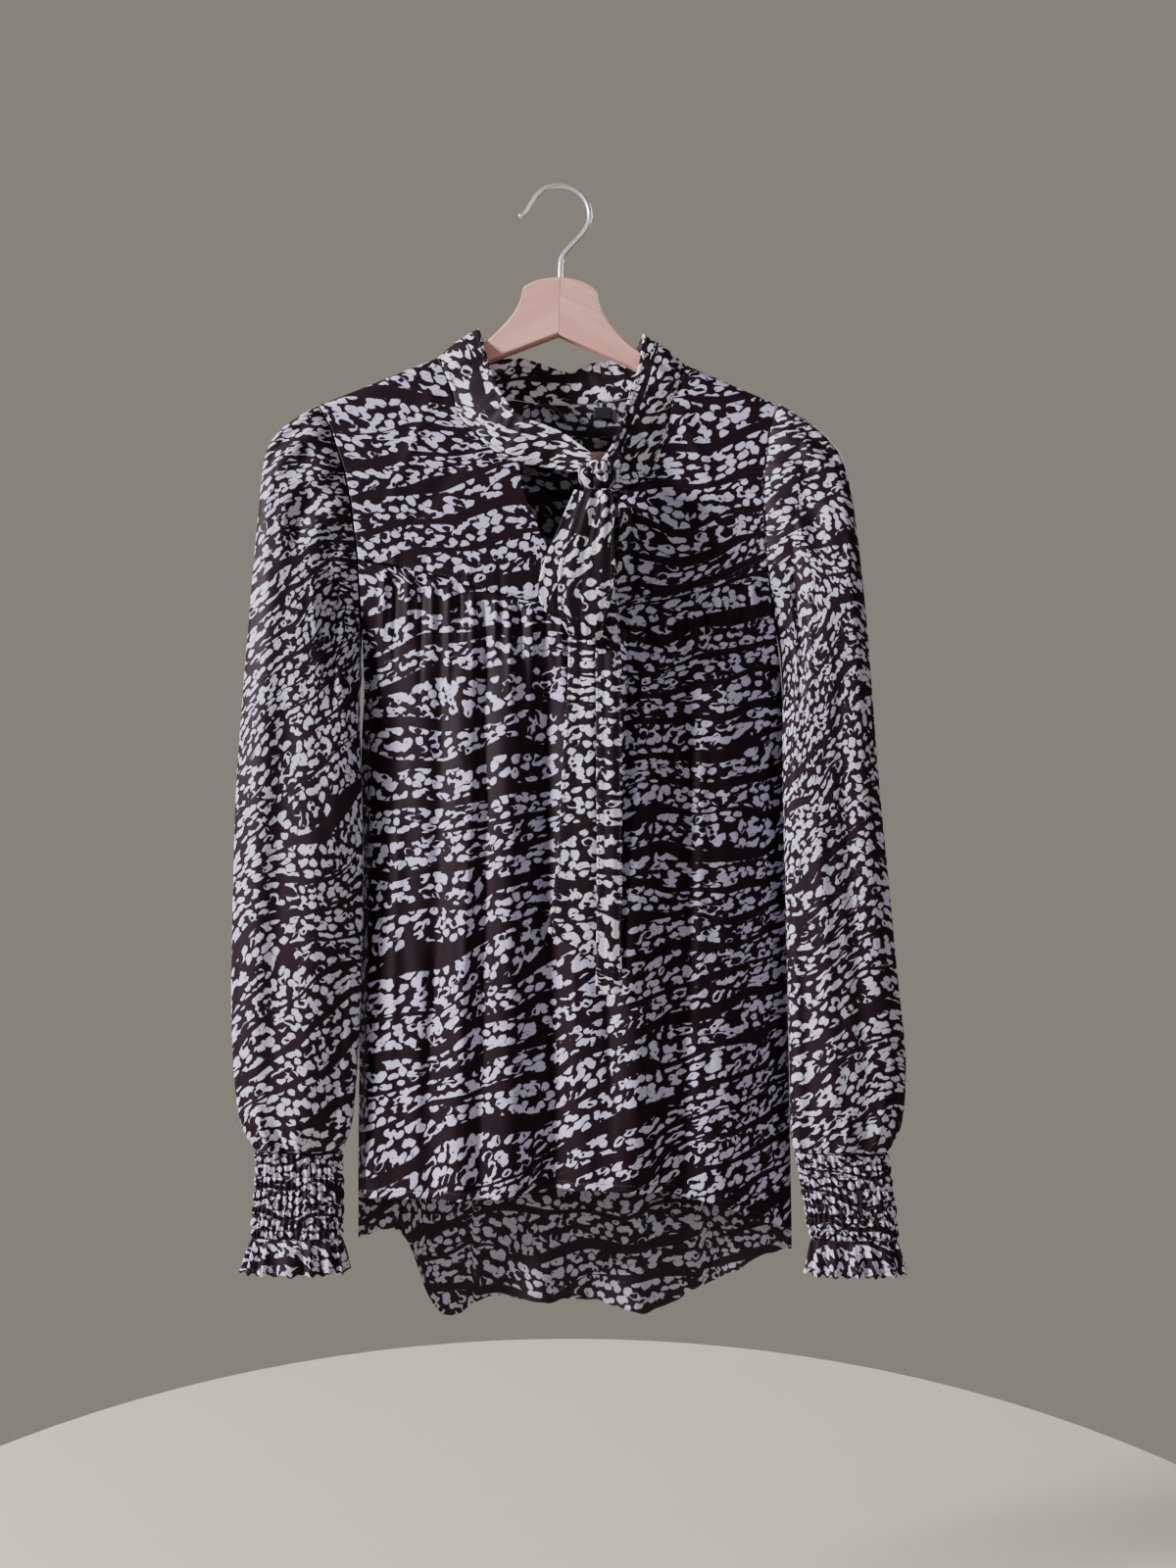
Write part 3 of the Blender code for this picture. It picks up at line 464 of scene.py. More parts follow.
@dataclass(frozen=True)
class PrintedCrepe:
    """Dark crepe with a pale animal print that follows the cloth's own grain.

    The print is one field of distances in millimetres, and cloth is pale where it is above 0:
    round marks that run together where they come close, less plain stripes, less a hole in some.

    Args:
        name: the material's name.
        ground: colour of the dark ground.
        pale: colour of the print.
        cell: size of a mark.
        stripe: from one plain stripe to the next.
        plain: half the width of a plain stripe.
        reach: how far a mark reaches from its middle, as a share of its size.
        hole: radius of the largest hole.
        wander: how far the bands wander.
        wobble: how far a mark's edge wanders.
        taper: how much a plain stripe's width varies.
        soft: half the width of a mark's soft edge.
    """

    name: str
    ground: Colour = (0.0085, 0.0028, 0.0058)
    pale: Colour = (0.63, 0.59, 0.83)
    cell: Pair = (8.0, 6.0)
    stripe: float = 28.0
    plain: float = 3.4
    reach: float = 0.425
    hole: float = 2.4
    wander: float = 62.0
    wobble: float = 5.5
    taper: float = 13.0
    soft: float = 0.3

    def material(self) -> Material:
        """Builds the node tree."""
        w = Weave(self.name)
        source = w.node("ShaderNodeUVMap", uv_map="grain").outputs[0]
        at = w.vector("SCALE", source, 1000.0)
        slow = w.drift(at, 0.011, self.wander)
        quick = w.drift(at, 0.13, self.wobble)
        wobbly = w.vector("ADD", w.vector("ADD", at, w.vector("SCALE", slow, 0.5)), quick)
        spots = w.vector("MULTIPLY", wobbly, (1 / self.cell[0], 1 / self.cell[1], 1.0))
        loose = w.swing(at, 0.075, 2.6)
        mark = w.math("ADD", self.marks(w, spots), w.math("MULTIPLY", loose, 0.4))
        stripes = self.stripes(w, at, w.vector("ADD", at, slow))
        mark = w.math("SMOOTH_MIN", mark, w.math("ADD", stripes, w.math("MULTIPLY", loose, 0.4)), 1.0)
        mark = w.math("SMOOTH_MIN", mark, self.holes(w, spots, at), 0.5)
        shown = w.ranged(mark, -self.soft, self.soft)
        ground = w.mixed(w.noise(at, 0.03, 2.0), self.ground, times(self.ground, 1.9))
        pale = w.mixed(w.noise(at, 0.7, 2.0), times(self.pale, 0.86), self.pale)
        w.set(Base_Color=w.mixed(shown, ground, pale), Roughness=w.ranged(shown, 0.0, 1.0, (0.58, 0.72)))
        w.set(Specular_IOR_Level=0.12, Sheen_Weight=0.03, Sheen_Roughness=0.4)
        crinkle = w.math("ADD", w.noise(at, 1.3, 3.0), w.math("MULTIPLY", w.noise(at, 0.25, 2.0), 0.6))
        w.relief(crinkle, 0.0003, 0.35)
        return w.material

    def marks(self, w: Weave, spots: Socket) -> Socket:
        """How far inside a round mark the cloth is, with near marks run together."""
        near = w.cells(spots, "SMOOTH_F1")
        near.inputs["Smoothness"].default_value = 0.3
        inside = w.math("SUBTRACT", self.reach, near.outputs["Distance"])
        return w.math("MULTIPLY", inside, self.cell[1])

    def stripes(self, w: Weave, at: Socket, flowing: Socket) -> Socket:
        """How far the cloth is from a plain stripe, which swells and tapers along its way."""
        away = w.math("PINGPONG", w.parts(flowing)[1], self.stripe / 2)
        taper = w.swing(w.vector("MULTIPLY", at, (0.45, 1.0, 1.0)), 0.026, self.taper)
        return w.math("SUBTRACT", away, w.math("ADD", taper, self.plain))

    def holes(self, w: Weave, spots: Socket, at: Socket) -> Socket:
        """How far the cloth is from a hole: some cells have one, set off from the mark's middle."""
        centre = w.cells(w.vector("ADD", spots, w.drift(at, 0.045, 2.4, 0.0)), "F1")
        chance = w.node("ShaderNodeSeparateColor")
        w.feed(chance.inputs[0], centre.outputs["Color"])
        size = w.ranged(chance.outputs[0], 0.5, 0.95, (0.0, self.hole))
        away = w.math("MULTIPLY", centre.outputs["Distance"], self.cell[1])
        return w.math("SUBTRACT", w.math("SUBTRACT", away, size), 0.35)


@dataclass(frozen=True)
class Thread:
    """Dark sewing thread, twisted finely along its length."""

    name: str = "thread"
    colour: Colour = (0.03, 0.022, 0.032)

    def material(self) -> Material:
        """Builds the node tree."""
        w = Weave(self.name)
        at = w.node("ShaderNodeTexCoord").outputs["Object"]
        twist = w.noise(at, 2600.0, 1.0)
        w.set(Base_Color=w.mixed(twist, self.colour, times(self.colour, 2.0)), Roughness=0.6)
        w.relief(twist, 0.00008, 0.5)
        return w.material


@dataclass(frozen=True)
class BlackRibbon:
    """Black woven ribbon: fine ribs over and under, with painted highlight: the raised crossings are
    coloured lighter than the sunk ones.
    """

    name: str = "black_ribbon"
    colour: Colour = (0.006, 0.006, 0.0075)
    rib: float = 0.0006

    def material(self) -> Material:
        """Builds the node tree."""
        w = Weave(self.name)
        at = w.node("ShaderNodeTexCoord").outputs["Object"]
        parts = w.parts(at)
        ribs = [w.math("SINE", w.math("MULTIPLY", parts[k], 2 * math.pi / self.rib)) for k in (0, 2)]
        weave = w.math("MULTIPLY", ribs[0], ribs[1])
        # painted highlight: the colour rises with the weave's height, lighter on the raised crossings and
        # darker in the sunk ones
        raised_painted_highlight = w.ranged(weave, -1.0, 1.0)
        w.set(Base_Color=w.mixed(raised_painted_highlight, self.colour, times(self.colour, 3.0)))
        w.set(Roughness=w.ranged(weave, -1.0, 1.0, (0.38, 0.55)), Sheen_Weight=0.1)
        w.relief(weave, 0.0001, 0.4)
        return w.material


@dataclass(frozen=True)
class HangerWood:
    """Pale pinkish wood with its grain along the arms, under a satin coat."""

    name: str
    slope: float
    pale: Colour = (0.92, 0.50, 0.43)
    streak: Colour = (0.80, 0.37, 0.30)

    def material(self) -> Material:
        """Builds the node tree."""
        w = Weave(self.name)
        at = w.node("ShaderNodeTexCoord").outputs["Object"]
        turned = w.node("ShaderNodeMapping")
        w.feed(turned.inputs["Vector"], at)
        turned.inputs["Rotation"].default_value = (0.0, math.radians(self.slope), 0.0)
        flow = w.vector("MULTIPLY", turned.outputs[0], (9.0, 60.0, 90.0))
        wide = w.noise(flow, 1.0, 4.0)
        fine = w.noise(w.vector("MULTIPLY", flow, (1.3, 7.0, 9.0)), 1.0, 3.0)
        streaks = w.math("ADD", w.math("MULTIPLY", wide, 0.65), w.math("MULTIPLY", fine, 0.35))
        w.set(Base_Color=w.mixed(w.ranged(streaks, 0.35, 0.68), self.streak, self.pale))
        w.set(Roughness=w.ranged(fine, 0.3, 0.7, (0.42, 0.58)), Specular_IOR_Level=0.4)
        w.set(Coat_Weight=0.12, Coat_Roughness=0.35)
        w.relief(streaks, 0.0002, 0.25)
        return w.material


@dataclass(frozen=True)
class Chrome:
    """Bright chromed wire with faint rubbing."""

    name: str = "hook_chrome"

    def material(self) -> Material:
        """Builds the node tree."""
        w = Weave(self.name)
        at = w.node("ShaderNodeTexCoord").outputs["Object"]
        rub = w.noise(w.vector("MULTIPLY", at, (900.0, 900.0, 240.0)), 1.0, 3.0)
        w.set(Base_Color=w.mixed(rub, (0.84, 0.84, 0.87), (0.95, 0.95, 0.97)), Metallic=0.75)
        w.set(Roughness=w.ranged(rub, 0.3, 0.75, (0.28, 0.44)))
        w.relief(rub, 0.00003, 0.1)
        return w.material


@dataclass(frozen=True)
class BlouseForm:
    """The hanging form that every body piece lies on.

    Args:
        shoulder: the shoulder line as x, z.
        depths: half depths by height as z, front, back.
        sides: z, left x, right x, share of the depth at the armhole's edge, y of the side seam.
        yoke_seam: the seam under the yokes as x, z.
        over_arm: how far below the shoulder line the cloth is clear of the hanger.
    """

    shoulder: Rows = (
        (-230, -182.3), (-89, -125.9), (-60, -114.3), (0, -110), (62, -117.3), (94, -131.1),
        (230, -189.6),
    )
    depths: Rows = (
        (-100, 9.0, 9.0), (-150, 9.6, 10.5), (-180, 13, 13), (-210, 17, 15), (-250, 20, 17),
        (-312, 22, 19), (-450, 27, 26), (-600, 31, 31), (-740, 34, 35), (-860, 36, 38),
    )
    sides: Rows = (
        (-150, -176, 161, 1.0, 0), (-161, -176, 161, 1.0, 0), (-180, -166, 154, 1.0, 0),
        (-213, -155, 149.5, 1.0, 0), (-235, -150.5, 149, 1.0, 0), (-277, -145.5, 151, 0.8, 0),
        (-310, -144.5, 156, 0.5, 0), (-335, -144.5, 161, 0.18, 0), (-350, -144.5, 163.5, 0, 0),
        (-375, -144.5, 166, 0, 5), (-410, -147, 168, 0, 8), (-512, -147.5, 169, 0, 9),
        (-600, -148.5, 170.5, 0, 9), (-740, -149.5, 173, 0, 9), (-860, -150, 175, 0, 9),
    )
    yoke_seam: Rows = (
        (-150, -276), (-112, -284), (-84, -291), (-49, -302), (0, -311), (42, -311), (81, -306),
        (107, -298), (155, -276),
    )
    over_arm: float = 9.0
    seam_end_z: float = -277.0
    underarm_z: float = -350.0

    def shoulder_z(self, x: Array) -> Array:
        """Height of the shoulder line, by straight lines between its rows."""
        rows = np.asarray(self.shoulder, float)
        return np.interp(x, rows[:, 0], rows[:, 1])

    def yoke_seam_z(self, x: Array) -> Array:
        """Height of the yoke seam, by a smooth curve through its rows."""
        rows = np.asarray(self.yoke_seam, float)
        return through(rows[:, 0], rows[:, 1], x)

    def edge_x(self, hand: Hand, z: Array) -> Array:
        """The armhole's or side seam's x at a height."""
        return by_height(self.sides, 1 if hand is Hand.LEFT else 2, z)

    def depth_y(self, x: Array, z: Array, side: Array | int) -> Array:
        """Depth of the plain hanging cloth.

        A quarter circle over the hanger's arm, then the table's half depth, rounded away to the
        side seam by (1 - across^3.2)^0.85.

        Args:
            x: places across, in millimetres.
            z: heights.
            side: -1 for the front and 1 for the back.

        Returns:
            y at each place.
        """
        drop = np.clip((self.shoulder_z(x) - z) / self.over_arm, 0, 1)
        clear = np.sqrt(np.clip(1 - (1 - drop) ** 2, 0, 1))
        depth = np.where(np.asarray(side) < 0, by_height(self.depths, 1, z), by_height(self.depths, 2, z))
        full = side * depth * clear
        left, right = by_height(self.sides, 1, z), by_height(self.sides, 2, z)
        across = np.clip(np.abs(2 * x - left - right) / (right - left), 0, 1)
        edge = full * by_height(self.sides, 3, z) + by_height(self.sides, 4, z)
        return edge + (full - edge) * (1 - across**3.2) ** 0.85


FORM = BlouseForm()


def folds(table: Rows, x: Array, z: Array, hem: float) -> Array:
    """Soft troughs and ridges that start under a seam and open towards the hem.

    Each is a bell across, growing over 70 mm and then slowly to the hem.

    Args:
        table: top x, hem x, half width, height, start z.
        x: places across.
        z: heights.
        hem: the hem's height.

    Returns:
        The height of the folds at each place.
    """
    total = np.zeros_like(x)
    for top_x, hem_x, half, height, start in table:
        down = np.clip((start - z) / (start - hem), 0, 1)
        middle = top_x + (hem_x - top_x) * down
        grow = smooth((start - z) / 70) * (0.7 + 0.5 * down)
        total += height * grow * hump(x, middle, half * (0.75 + 0.5 * down))
    return total


def creases(table: Rows, x: Array, z: Array) -> Array:
    """Single drag lines and gathers, each a bell across a straight line that fades at both ends.

    Args:
        table: first x, first z, last x, last z, half width, height.
        x: places across.
        z: heights.

    Returns:
        The height of the creases at each place.
    """
    total = np.zeros_like(x)
    for first_x, first_z, last_x, last_z, half, height in table:
        run_x, run_z = last_x - first_x, last_z - first_z
        length = math.hypot(run_x, run_z)
        share = ((x - first_x) * run_x + (z - first_z) * run_z) / length**2
        off = ((x - first_x) * run_z - (z - first_z) * run_x) / length
        ends = smooth((share + 0.02) / 0.12) * smooth((1 - share) / 0.6)
        total += height * ends * hump(off, 0.0, half)
    return total


@dataclass
class Seamwork:
    """Stitches: small pointed rods of thread laid along lines on the cloth.

    Args:
        finish: the thread's material.
        length: of a stitch.
        pitch: from one stitch to the next.
        radius: of the thread.
    """

    finish: Material
    length: float = 2.3
    pitch: float = 3.1
    radius: float = 0.26

    def lay(self, name: str, lines: Sequence[Array]) -> Piece:
        """Lays stitches at even steps along each line.

        Each stitch is two points and two rings of four between them, turned along its line.

        Args:
            name: the piece's name.
            lines: points of each line, already just above the cloth.

        Returns:
            The new object.
        """
        middles, ways = [], []
        for line in lines:
            steps = np.linalg.norm(np.diff(line, axis=0), axis=1)
            run = np.concatenate([[0.0], np.cumsum(steps)])
            at = np.arange(self.pitch / 2, run[-1], self.pitch)
            spot = np.stack([np.interp(at, run, line[:, k]) for k in range(3)], -1)
            ahead = np.stack([np.interp(at + 0.4, run, line[:, k]) for k in range(3)], -1)
            back = np.stack([np.interp(at - 0.4, run, line[:, k]) for k in range(3)], -1)
            middles.append(spot)
            ways.append(unit(ahead - back))
        middle, way = np.concatenate(middles), np.concatenate(ways)
        helper = np.where(np.abs(way[:, 1:2]) < 0.8, np.array([[0.0, 1, 0]]), np.array([[1.0, 0, 0]]))
        side = unit(np.cross(way, helper))
        up = np.cross(side, way)
        turn = np.arange(4) * np.pi / 2
        ring = side[:, None] * np.cos(turn)[:, None] + up[:, None] * np.sin(turn)[:, None]
        ends = middle[:, None] + way[:, None] * (self.length / 2 * np.array([-1.0, 1.0]))[:, None]
        first = middle[:, None] - way[:, None] * self.length * 0.3 + ring * self.radius
        second = middle[:, None] + way[:, None] * self.length * 0.3 + ring * self.radius
        points = np.concatenate([ends[:, :1], first, second, ends[:, 1:]], 1)
        k = np.arange(4)
        n = (k + 1) % 4
        tips = np.stack([np.zeros(4, int), n + 1, k + 1, k + 1], -1)
        belly = np.stack([k + 1, n + 1, n + 5, k + 5], -1)
        tails = np.stack([np.full(4, 9), k + 5, n + 5, n + 5], -1)
        pattern = np.concatenate([tips, belly, tails])
        faces = (pattern[None] + 10 * np.arange(len(points))[:, None, None]).reshape(-1, 4)
        listed = [list(dict.fromkeys(face)) for face in faces.tolist()]
        mesh = bpy.data.meshes.new(name)
        mesh.from_pydata((points.reshape(-1, 3) * MM).tolist(), [], listed)
        mesh.shade_smooth()
        mesh.materials.append(self.finish)
        obj = bpy.data.objects.new(name, mesh)
        bpy.context.scene.collection.objects.link(obj)
        outward(obj)
        return obj


def settle(obj: Piece, slot: str, *nodes: str) -> Piece:
    """Rides a piece on the blouse's one body, in place of its solids, and logs it."""
    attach(obj, "root")
    if nodes:
        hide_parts(*nodes)
    LOG.info("%s: %d faces", obj.name, len(obj.data.polygons))
    return obj


@dataclass(frozen=True)
class Cut:
    """How a piece of cloth was cut and hangs.

    Args:
        flat: its width and length let out flat, in metres; not used.
        held: how it is held; not used.
        rests_on: the pieces that carry it; not used.
        area: its area in square metres where the cut isn't a rectangle; not used.
    """

    flat: Pair
    held: str
    rests_on: tuple[str, ...]
    area: float | None = None


def hang(node: str, surface: Surface, finish: Material, thick: float = SHELL) -> None:
    """Makes a node's cloth as a shell."""
    piece = settle(shell(f"{node}_cloth", surface, finish, thick), "printed_crepe", node)


@dataclass
class BodyPanels:
    """The two front yokes, the gathered front and the long back.

    Args:
        finishes: crepe for each panel, by its name.
        seams: the stitcher.
        front_folds: top x, hem x, half width, height towards the front, start z.
        back_folds: the same, with height towards the back.
        front_creases: gathers and drag lines: first x, z, last x, z, half width, height.
        back_creases: the same on the back.
        yoke_creases: the same on the yokes.
        front_hem: share of the width from the left, z.
        back_hem: the same for the back.
        back_neck: the back neckline as x, z.
        slit_left: x and z of the slit's left edge, from the top.
        slit_right: the same for its right edge.
        hem_step: how proud the narrow rolled hem stands.
        side_gap: gap at the side seams.
        yoke_gap: gap at the yoke seams.
        band_gap: gap at the neck band's seam.
    """

    finishes: dict[str, Material]
    seams: Seamwork
    front_folds: Rows = (
        (-131, -141, 13, 9.0, -330), (-104, -112, 22, 3.0, -300), (-83, -92, 7, -3.5, -300),
        (-67, -71, 12, 4.5, -300), (-52, -58, 6, -3.5, -305), (-37, -34, 12, 5.0, -305),
        (-10, -8, 13, -10.0, -330), (20, 22, 12, 3.0, -330), (66, 52, 15, 9.0, -310),
        (90, 82, 13, -7.0, -310), (124, 124, 30, 6.0, -330), (155, 158, 11, -4.0, -350),
    )
    back_folds: Rows = (
        (-118, -128, 16, 7.0, -300), (-84, -88, 12, -5.0, -330), (-52, -50, 18, 6.0, -280),
        (-18, -14, 12, -7.0, -300), (14, 20, 17, 7.0, -260), (50, 58, 12, -6.0, -320),
        (86, 94, 18, 6.5, -290), (124, 134, 13, -5.0, -340),
    )
    front_creases: Rows = (
        (-126, -284, -130, -350, 2.6, 2.1), (-118, -286, -121, -372, 2.2, -1.8),
        (-109, -288, -110, -345, 2.8, 2.2), (-99, -291, -101, -398, 2.4, -1.9),
        (-91, -293, -92, -352, 2.2, 1.9), (-79, -296, -82, -420, 3.0, 2.4),
        (-72, -298, -71, -348, 2.0, -1.9), (-62, -301, -61, -385, 2.6, 2.1),
        (-54, -303, -57, -430, 2.4, -2.2), (-45, -305, -46, -362, 2.4, 2.4),
        (-36, -307, -33, -410, 2.8, 2.1), (-28, -308, -26, -360, 2.2, -2.1),
        (-19, -310, -20, -446, 3.2, 2.2), (-9, -311, -8, -372, 2.4, -1.4),
        (2, -312, 4, -392, 2.8, 1.6), (14, -312, 15, -362, 2.2, -1.3), (27, -312, 29, -420, 3.0, 1.7),
        (40, -312, 40, -370, 2.4, -1.4), (52, -311, 51, -440, 2.6, 1.9),
        (63, -310, 63, -372, 2.2, -1.9), (74, -308, 72, -430, 2.8, 2.2),
        (84, -306, 83, -358, 2.2, -1.9), (95, -303, 97, -384, 2.6, 2.1),
        (106, -299, 107, -352, 2.4, -1.9), (118, -295, 121, -392, 3.0, 1.9),
        (130, -290, 133, -360, 2.6, -1.6), (141, -286, 146, -372, 3.0, 1.8),
        (-60, -420, -74, -720, 4.0, 1.9), (-26, -470, -22, -742, 4.5, -2.4),
        (8, -430, 14, -735, 4.2, 1.9), (104, -400, 98, -742, 5.0, 2.6),
        (138, -430, 142, -768, 5.0, -2.6), (-116, -450, -124, -744, 5.0, 2.2),
        (34, -500, 40, -732, 4.0, -2.2), (74, -560, 66, -738, 4.5, 2.6),
        (-90, -560, -100, -740, 4.0, -2.1),
    )
    back_creases: Rows = (
        (-140, -240, -60, -330, 9.0, 1.7), (146, -250, 70, -340, 9.0, 1.7),
        (-100, -190, -70, -300, 6.0, -1.4), (104, -196, 76, -300, 6.0, -1.4),
        (-120, -420, -136, -780, 6.0, 2.2), (-70, -460, -72, -830, 5.0, -2.2),
        (-34, -430, -30, -832, 6.0, 2.0), (4, -400, 6, -836, 5.0, -2.1),
        (36, -470, 44, -838, 6.0, 2.2), (74, -430, 78, -835, 5.5, -2.0),
        (108, -460, 116, -800, 6.0, 2.1), (146, -500, 152, -790, 6.0, -2.1),
        (-20, -170, -26, -260, 5.0, 1.3), (20, -172, 26, -250, 5.0, -1.3),
    )
    yoke_creases: Rows = (
        (-90, -150, -130, -260, 5.0, 1.3), (-60, -190, -128, -282, 6.0, -1.1),
        (-146, -216, -84, -226, 4.0, 1.0), (-120, -290, -118, -262, 2.6, 1.1),
        (-96, -295, -95, -266, 2.4, -1.0), (-66, -302, -64, -270, 2.6, 1.1),
        (-42, -307, -42, -276, 2.4, -1.0), (88, -160, 128, -270, 5.0, 1.3),
        (76, -212, 118, -290, 6.0, -1.3), (144, -222, 92, -240, 4.0, 1.0),
        (70, -308, 68, -262, 2.6, 1.3), (94, -303, 90, -262, 2.4, -1.1),
        (118, -295, 114, -258, 2.6, 1.1), (54, -311, 54, -250, 3.0, -1.1),
    )
    front_hem: Rows = (
        (0, -744), (0.1, -742), (0.33, -738), (0.5, -732), (0.62, -732), (0.75, -738), (0.84, -746),
        (0.92, -760), (1.0, -772),
    )
    back_hem: Rows = (
        (0, -779), (0.1, -786), (0.17, -836), (0.3, -834), (0.55, -838), (0.7, -842), (0.84, -815),
        (0.92, -798), (1.0, -787),
    )
    back_neck: Rows = (
        (-89.6, -126.1), (-84, -133), (-72, -141), (-56, -148), (-37, -153.5), (-15, -156.8),
        (7, -157.8), (30, -156.5), (50, -153), (68, -146.5), (85, -137), (94.6, -131.3),
    )
    slit_left: Rows = (
        (-28.5, -207.5), (-26.6, -220), (-22, -236), (-15, -251), (-8, -268), (-4, -287), (0, -311),
    )
    slit_right: Rows = SLIT_RIGHT
    hem_step: float = 0.4
    side_gap: float = 0.4
    yoke_gap: float = 0.6
    band_gap: float = 0.8

    def hem_rows(self, count: int, power: float = 1.0) -> Array:
        """Shares down a panel, with close rows in the last stretch for the rolled hem."""
        plain = np.linspace(0, 0.985, count) ** power
        return np.concatenate([plain, [0.9872, 0.9893, 0.994, 0.9975, 1.0]])

    def hem_lift(self, down: Array) -> Array:
        """The rolled hem stands a little proud of the cloth above it."""
        return self.hem_step * smooth((down - 0.9865) / 0.003)

    def front(self) -> Surface:
        """The gathered front: rows from the yoke seam to the hem, columns from side to side."""
        share = eased_ends(300)[None, :]
        down = self.hem_rows(112, 1.1)[:, None]
        left, right = (FORM.edge_x(hand, np.array(FORM.seam_end_z)) for hand in Hand)
        top = FORM.yoke_seam_z(left + (right - left) * share) - self.yoke_gap
        hem_rows = np.asarray(self.front_hem, float)
        hem = through(hem_rows[:, 0], hem_rows[:, 1], share)
        z = top + (hem - top) * down
        left, right = (FORM.edge_x(hand, z) for hand in Hand)
        x = left + (right - left) * share
        hold = smooth((1 - np.abs(2 * share - 1)) / 0.06)
        raised = folds(self.front_folds, x, z, -745) + creases(self.front_creases, x, z)
        wander = 0.5 * ragged(x + 0.22 * z, 23.0, 0.7) * smooth((-330 - z) / 160)
        y = FORM.depth_y(x, z, -1) - hold * (raised + wander)
        y = y - hold * self.hem_lift(down + 0 * x)
        y[:, [0, -1]] -= self.side_gap
        z = z + hold * 0.9 * ragged(x, 26.0, 2.0) * smooth((down - 0.9) / 0.1)
        return Surface(np.stack([x, y, z], -1))

    def back(self) -> Surface:
        """The back, from the shoulders and neck to the long hem, its columns going the other way."""
        share = eased_ends(240)[None, :]
        close = np.array([0, 0.002, 0.004, 0.007, 0.011, 0.016, 0.023, 0.032])
        lower = self.hem_rows(116)
        down = np.concatenate([close, lower[lower > 0.036]])[:, None]
        neck = np.asarray(self.back_neck, float)
        left, right = (FORM.edge_x(hand, np.array(-161.0)) for hand in Hand)
        top_x = left + (right - left) * share
        beside = (top_x < neck[0, 0]) | (top_x > neck[-1, 0])
        along_neck = np.interp(top_x, neck[:, 0], neck[:, 1]) - SEAM_GAP
        top = np.where(beside, FORM.shoulder_z(top_x), along_neck)
        hem_rows = np.asarray(self.back_hem, float)
        hem = through(hem_rows[:, 0], hem_rows[:, 1], share)
        z = top + (hem - top) * down
        left, right = (FORM.edge_x(hand, z) for hand in Hand)
        x = left + (right - left) * share
        hold = smooth((1 - np.abs(2 * share - 1)) / 0.06) * smooth(down / 0.03)
        raised = folds(self.back_folds, x, z, -830) + creases(self.back_creases, x, z)
        wander = 0.5 * ragged(x - 0.2 * z, 27.0, 1.9) * smooth((-300 - z) / 160)
        y = FORM.depth_y(x, z, 1) + hold * (raised + wander + self.hem_lift(down + 0 * x))
        y[0] = np.where(beside[0], HALF_GAP, y[0])
        y[:, [0, -1]] += self.side_gap
        z = z + hold * 1.2 * ragged(x, 24.0, 0.4) * smooth((down - 0.93) / 0.07)
        return Surface(np.stack([x, y, z], -1)[:, ::-1])

    def yoke(self, hand: Hand, neck: Array) -> Surface:
        """A front yoke: rows from its neck and slit out to the armhole, going down.

        Args:
            hand: which yoke.
            neck: x, z of its neckline, from the shoulder down.

        Returns:
            Its outside.
        """
        slit = np.asarray(self.slit_left if hand is Hand.LEFT else self.slit_right, float)
        inner = np.concatenate([neck, slit[1:]])
        lengths = np.concatenate([[0], np.cumsum(np.linalg.norm(np.diff(inner, axis=0), axis=1))])
        down = np.concatenate([[0, 0.006, 0.012, 0.022, 0.035, 0.052], np.linspace(0.075, 1, 66)])
        inner = np.stack([np.interp(down * lengths[-1], lengths, inner[:, k]) for k in (0, 1)], -1)
        outer_z = -161.2 + (FORM.seam_end_z + 161.2) * down
        outer = np.stack([FORM.edge_x(hand, outer_z), outer_z], -1)
        share = np.linspace(0, 1, 104)[None, :, None]
        flat = inner[:, None] * (1 - share) + outer[:, None] * share
        x, z = flat[..., 0], flat[..., 1]
        z = z + smooth((down[:, None] - 0.2) / 0.8) * (FORM.yoke_seam_z(x[-1]) + HALF_GAP - z[-1])
        z[0] = FORM.shoulder_z(x[0])
        x = np.maximum(x, HALF_GAP) if hand is Hand.RIGHT else np.minimum(x, -HALF_GAP)
        inside = both_ends(share[..., 0], 0.06, 0.08) * smooth(down[:, None] / 0.1)
        y = FORM.depth_y(x, z, -1) - inside * creases(self.yoke_creases, x, z)
        y = y - 0.35 * smooth((down[:, None] - 0.94) / 0.02) * inside
        y[0] = -HALF_GAP
        grid = np.stack([x, y, z], -1)
        return Surface(grid if hand is Hand.RIGHT else grid[:, ::-1])

    def swept(self, surface: Surface, start: float, end: float) -> Surface:
        """Bends the print so that its bands climb to the right, steeper lower down.

        The climb is the tangent of an angle that grows evenly with depth below the yoke.

        Args:
            surface: a panel.
            start: climb in degrees at the top.
            end: climb in degrees 450 mm lower.

        Returns:
            The panel with its print bent.
        """
        u, v = surface.grain[..., 0], surface.grain[..., 1]
        low = np.clip((-0.31 - v) / 0.45, 0, 1)
        angle = np.radians(start + (end - start) * low)
        return Surface(surface.points, surface.wraps, np.stack([u, v - np.tan(angle) * (u + 0.08)], -1))

    def build(self, neck_left: Array, neck_right: Array) -> None:
        """Makes the panels, with their hem and seam stitches."""
        panels = {
            "front_yoke_left": self.yoke(Hand.LEFT, neck_left).turned(2, (0.31, 0.012)),
            "front_yoke_right": self.yoke(Hand.RIGHT, neck_right).turned(17, (0.52, 0.08)),
            "front_body": self.swept(self.front(), 4.0, 24.0),
            "back_body": self.back().turned(-6, (0.9, 0.4)),
        }
        for node, surface in panels.items():
            hang(node, surface, self.finishes[node])
        front, back = panels["front_body"], panels["back_body"]
        hems = [front.line_across(4.6, 4, 5, 500), back.line_across(4.6, 3, 4, 500)]
        settle(self.seams.lay("hem_stitches", hems), "printed_crepe")
        yokes = [panels[f"front_yoke_{side}"].line_across(2.1, 2, 3, 200) for side in ("left", "right")]
        settle(self.seams.lay("yoke_stitches", yokes), "printed_crepe")


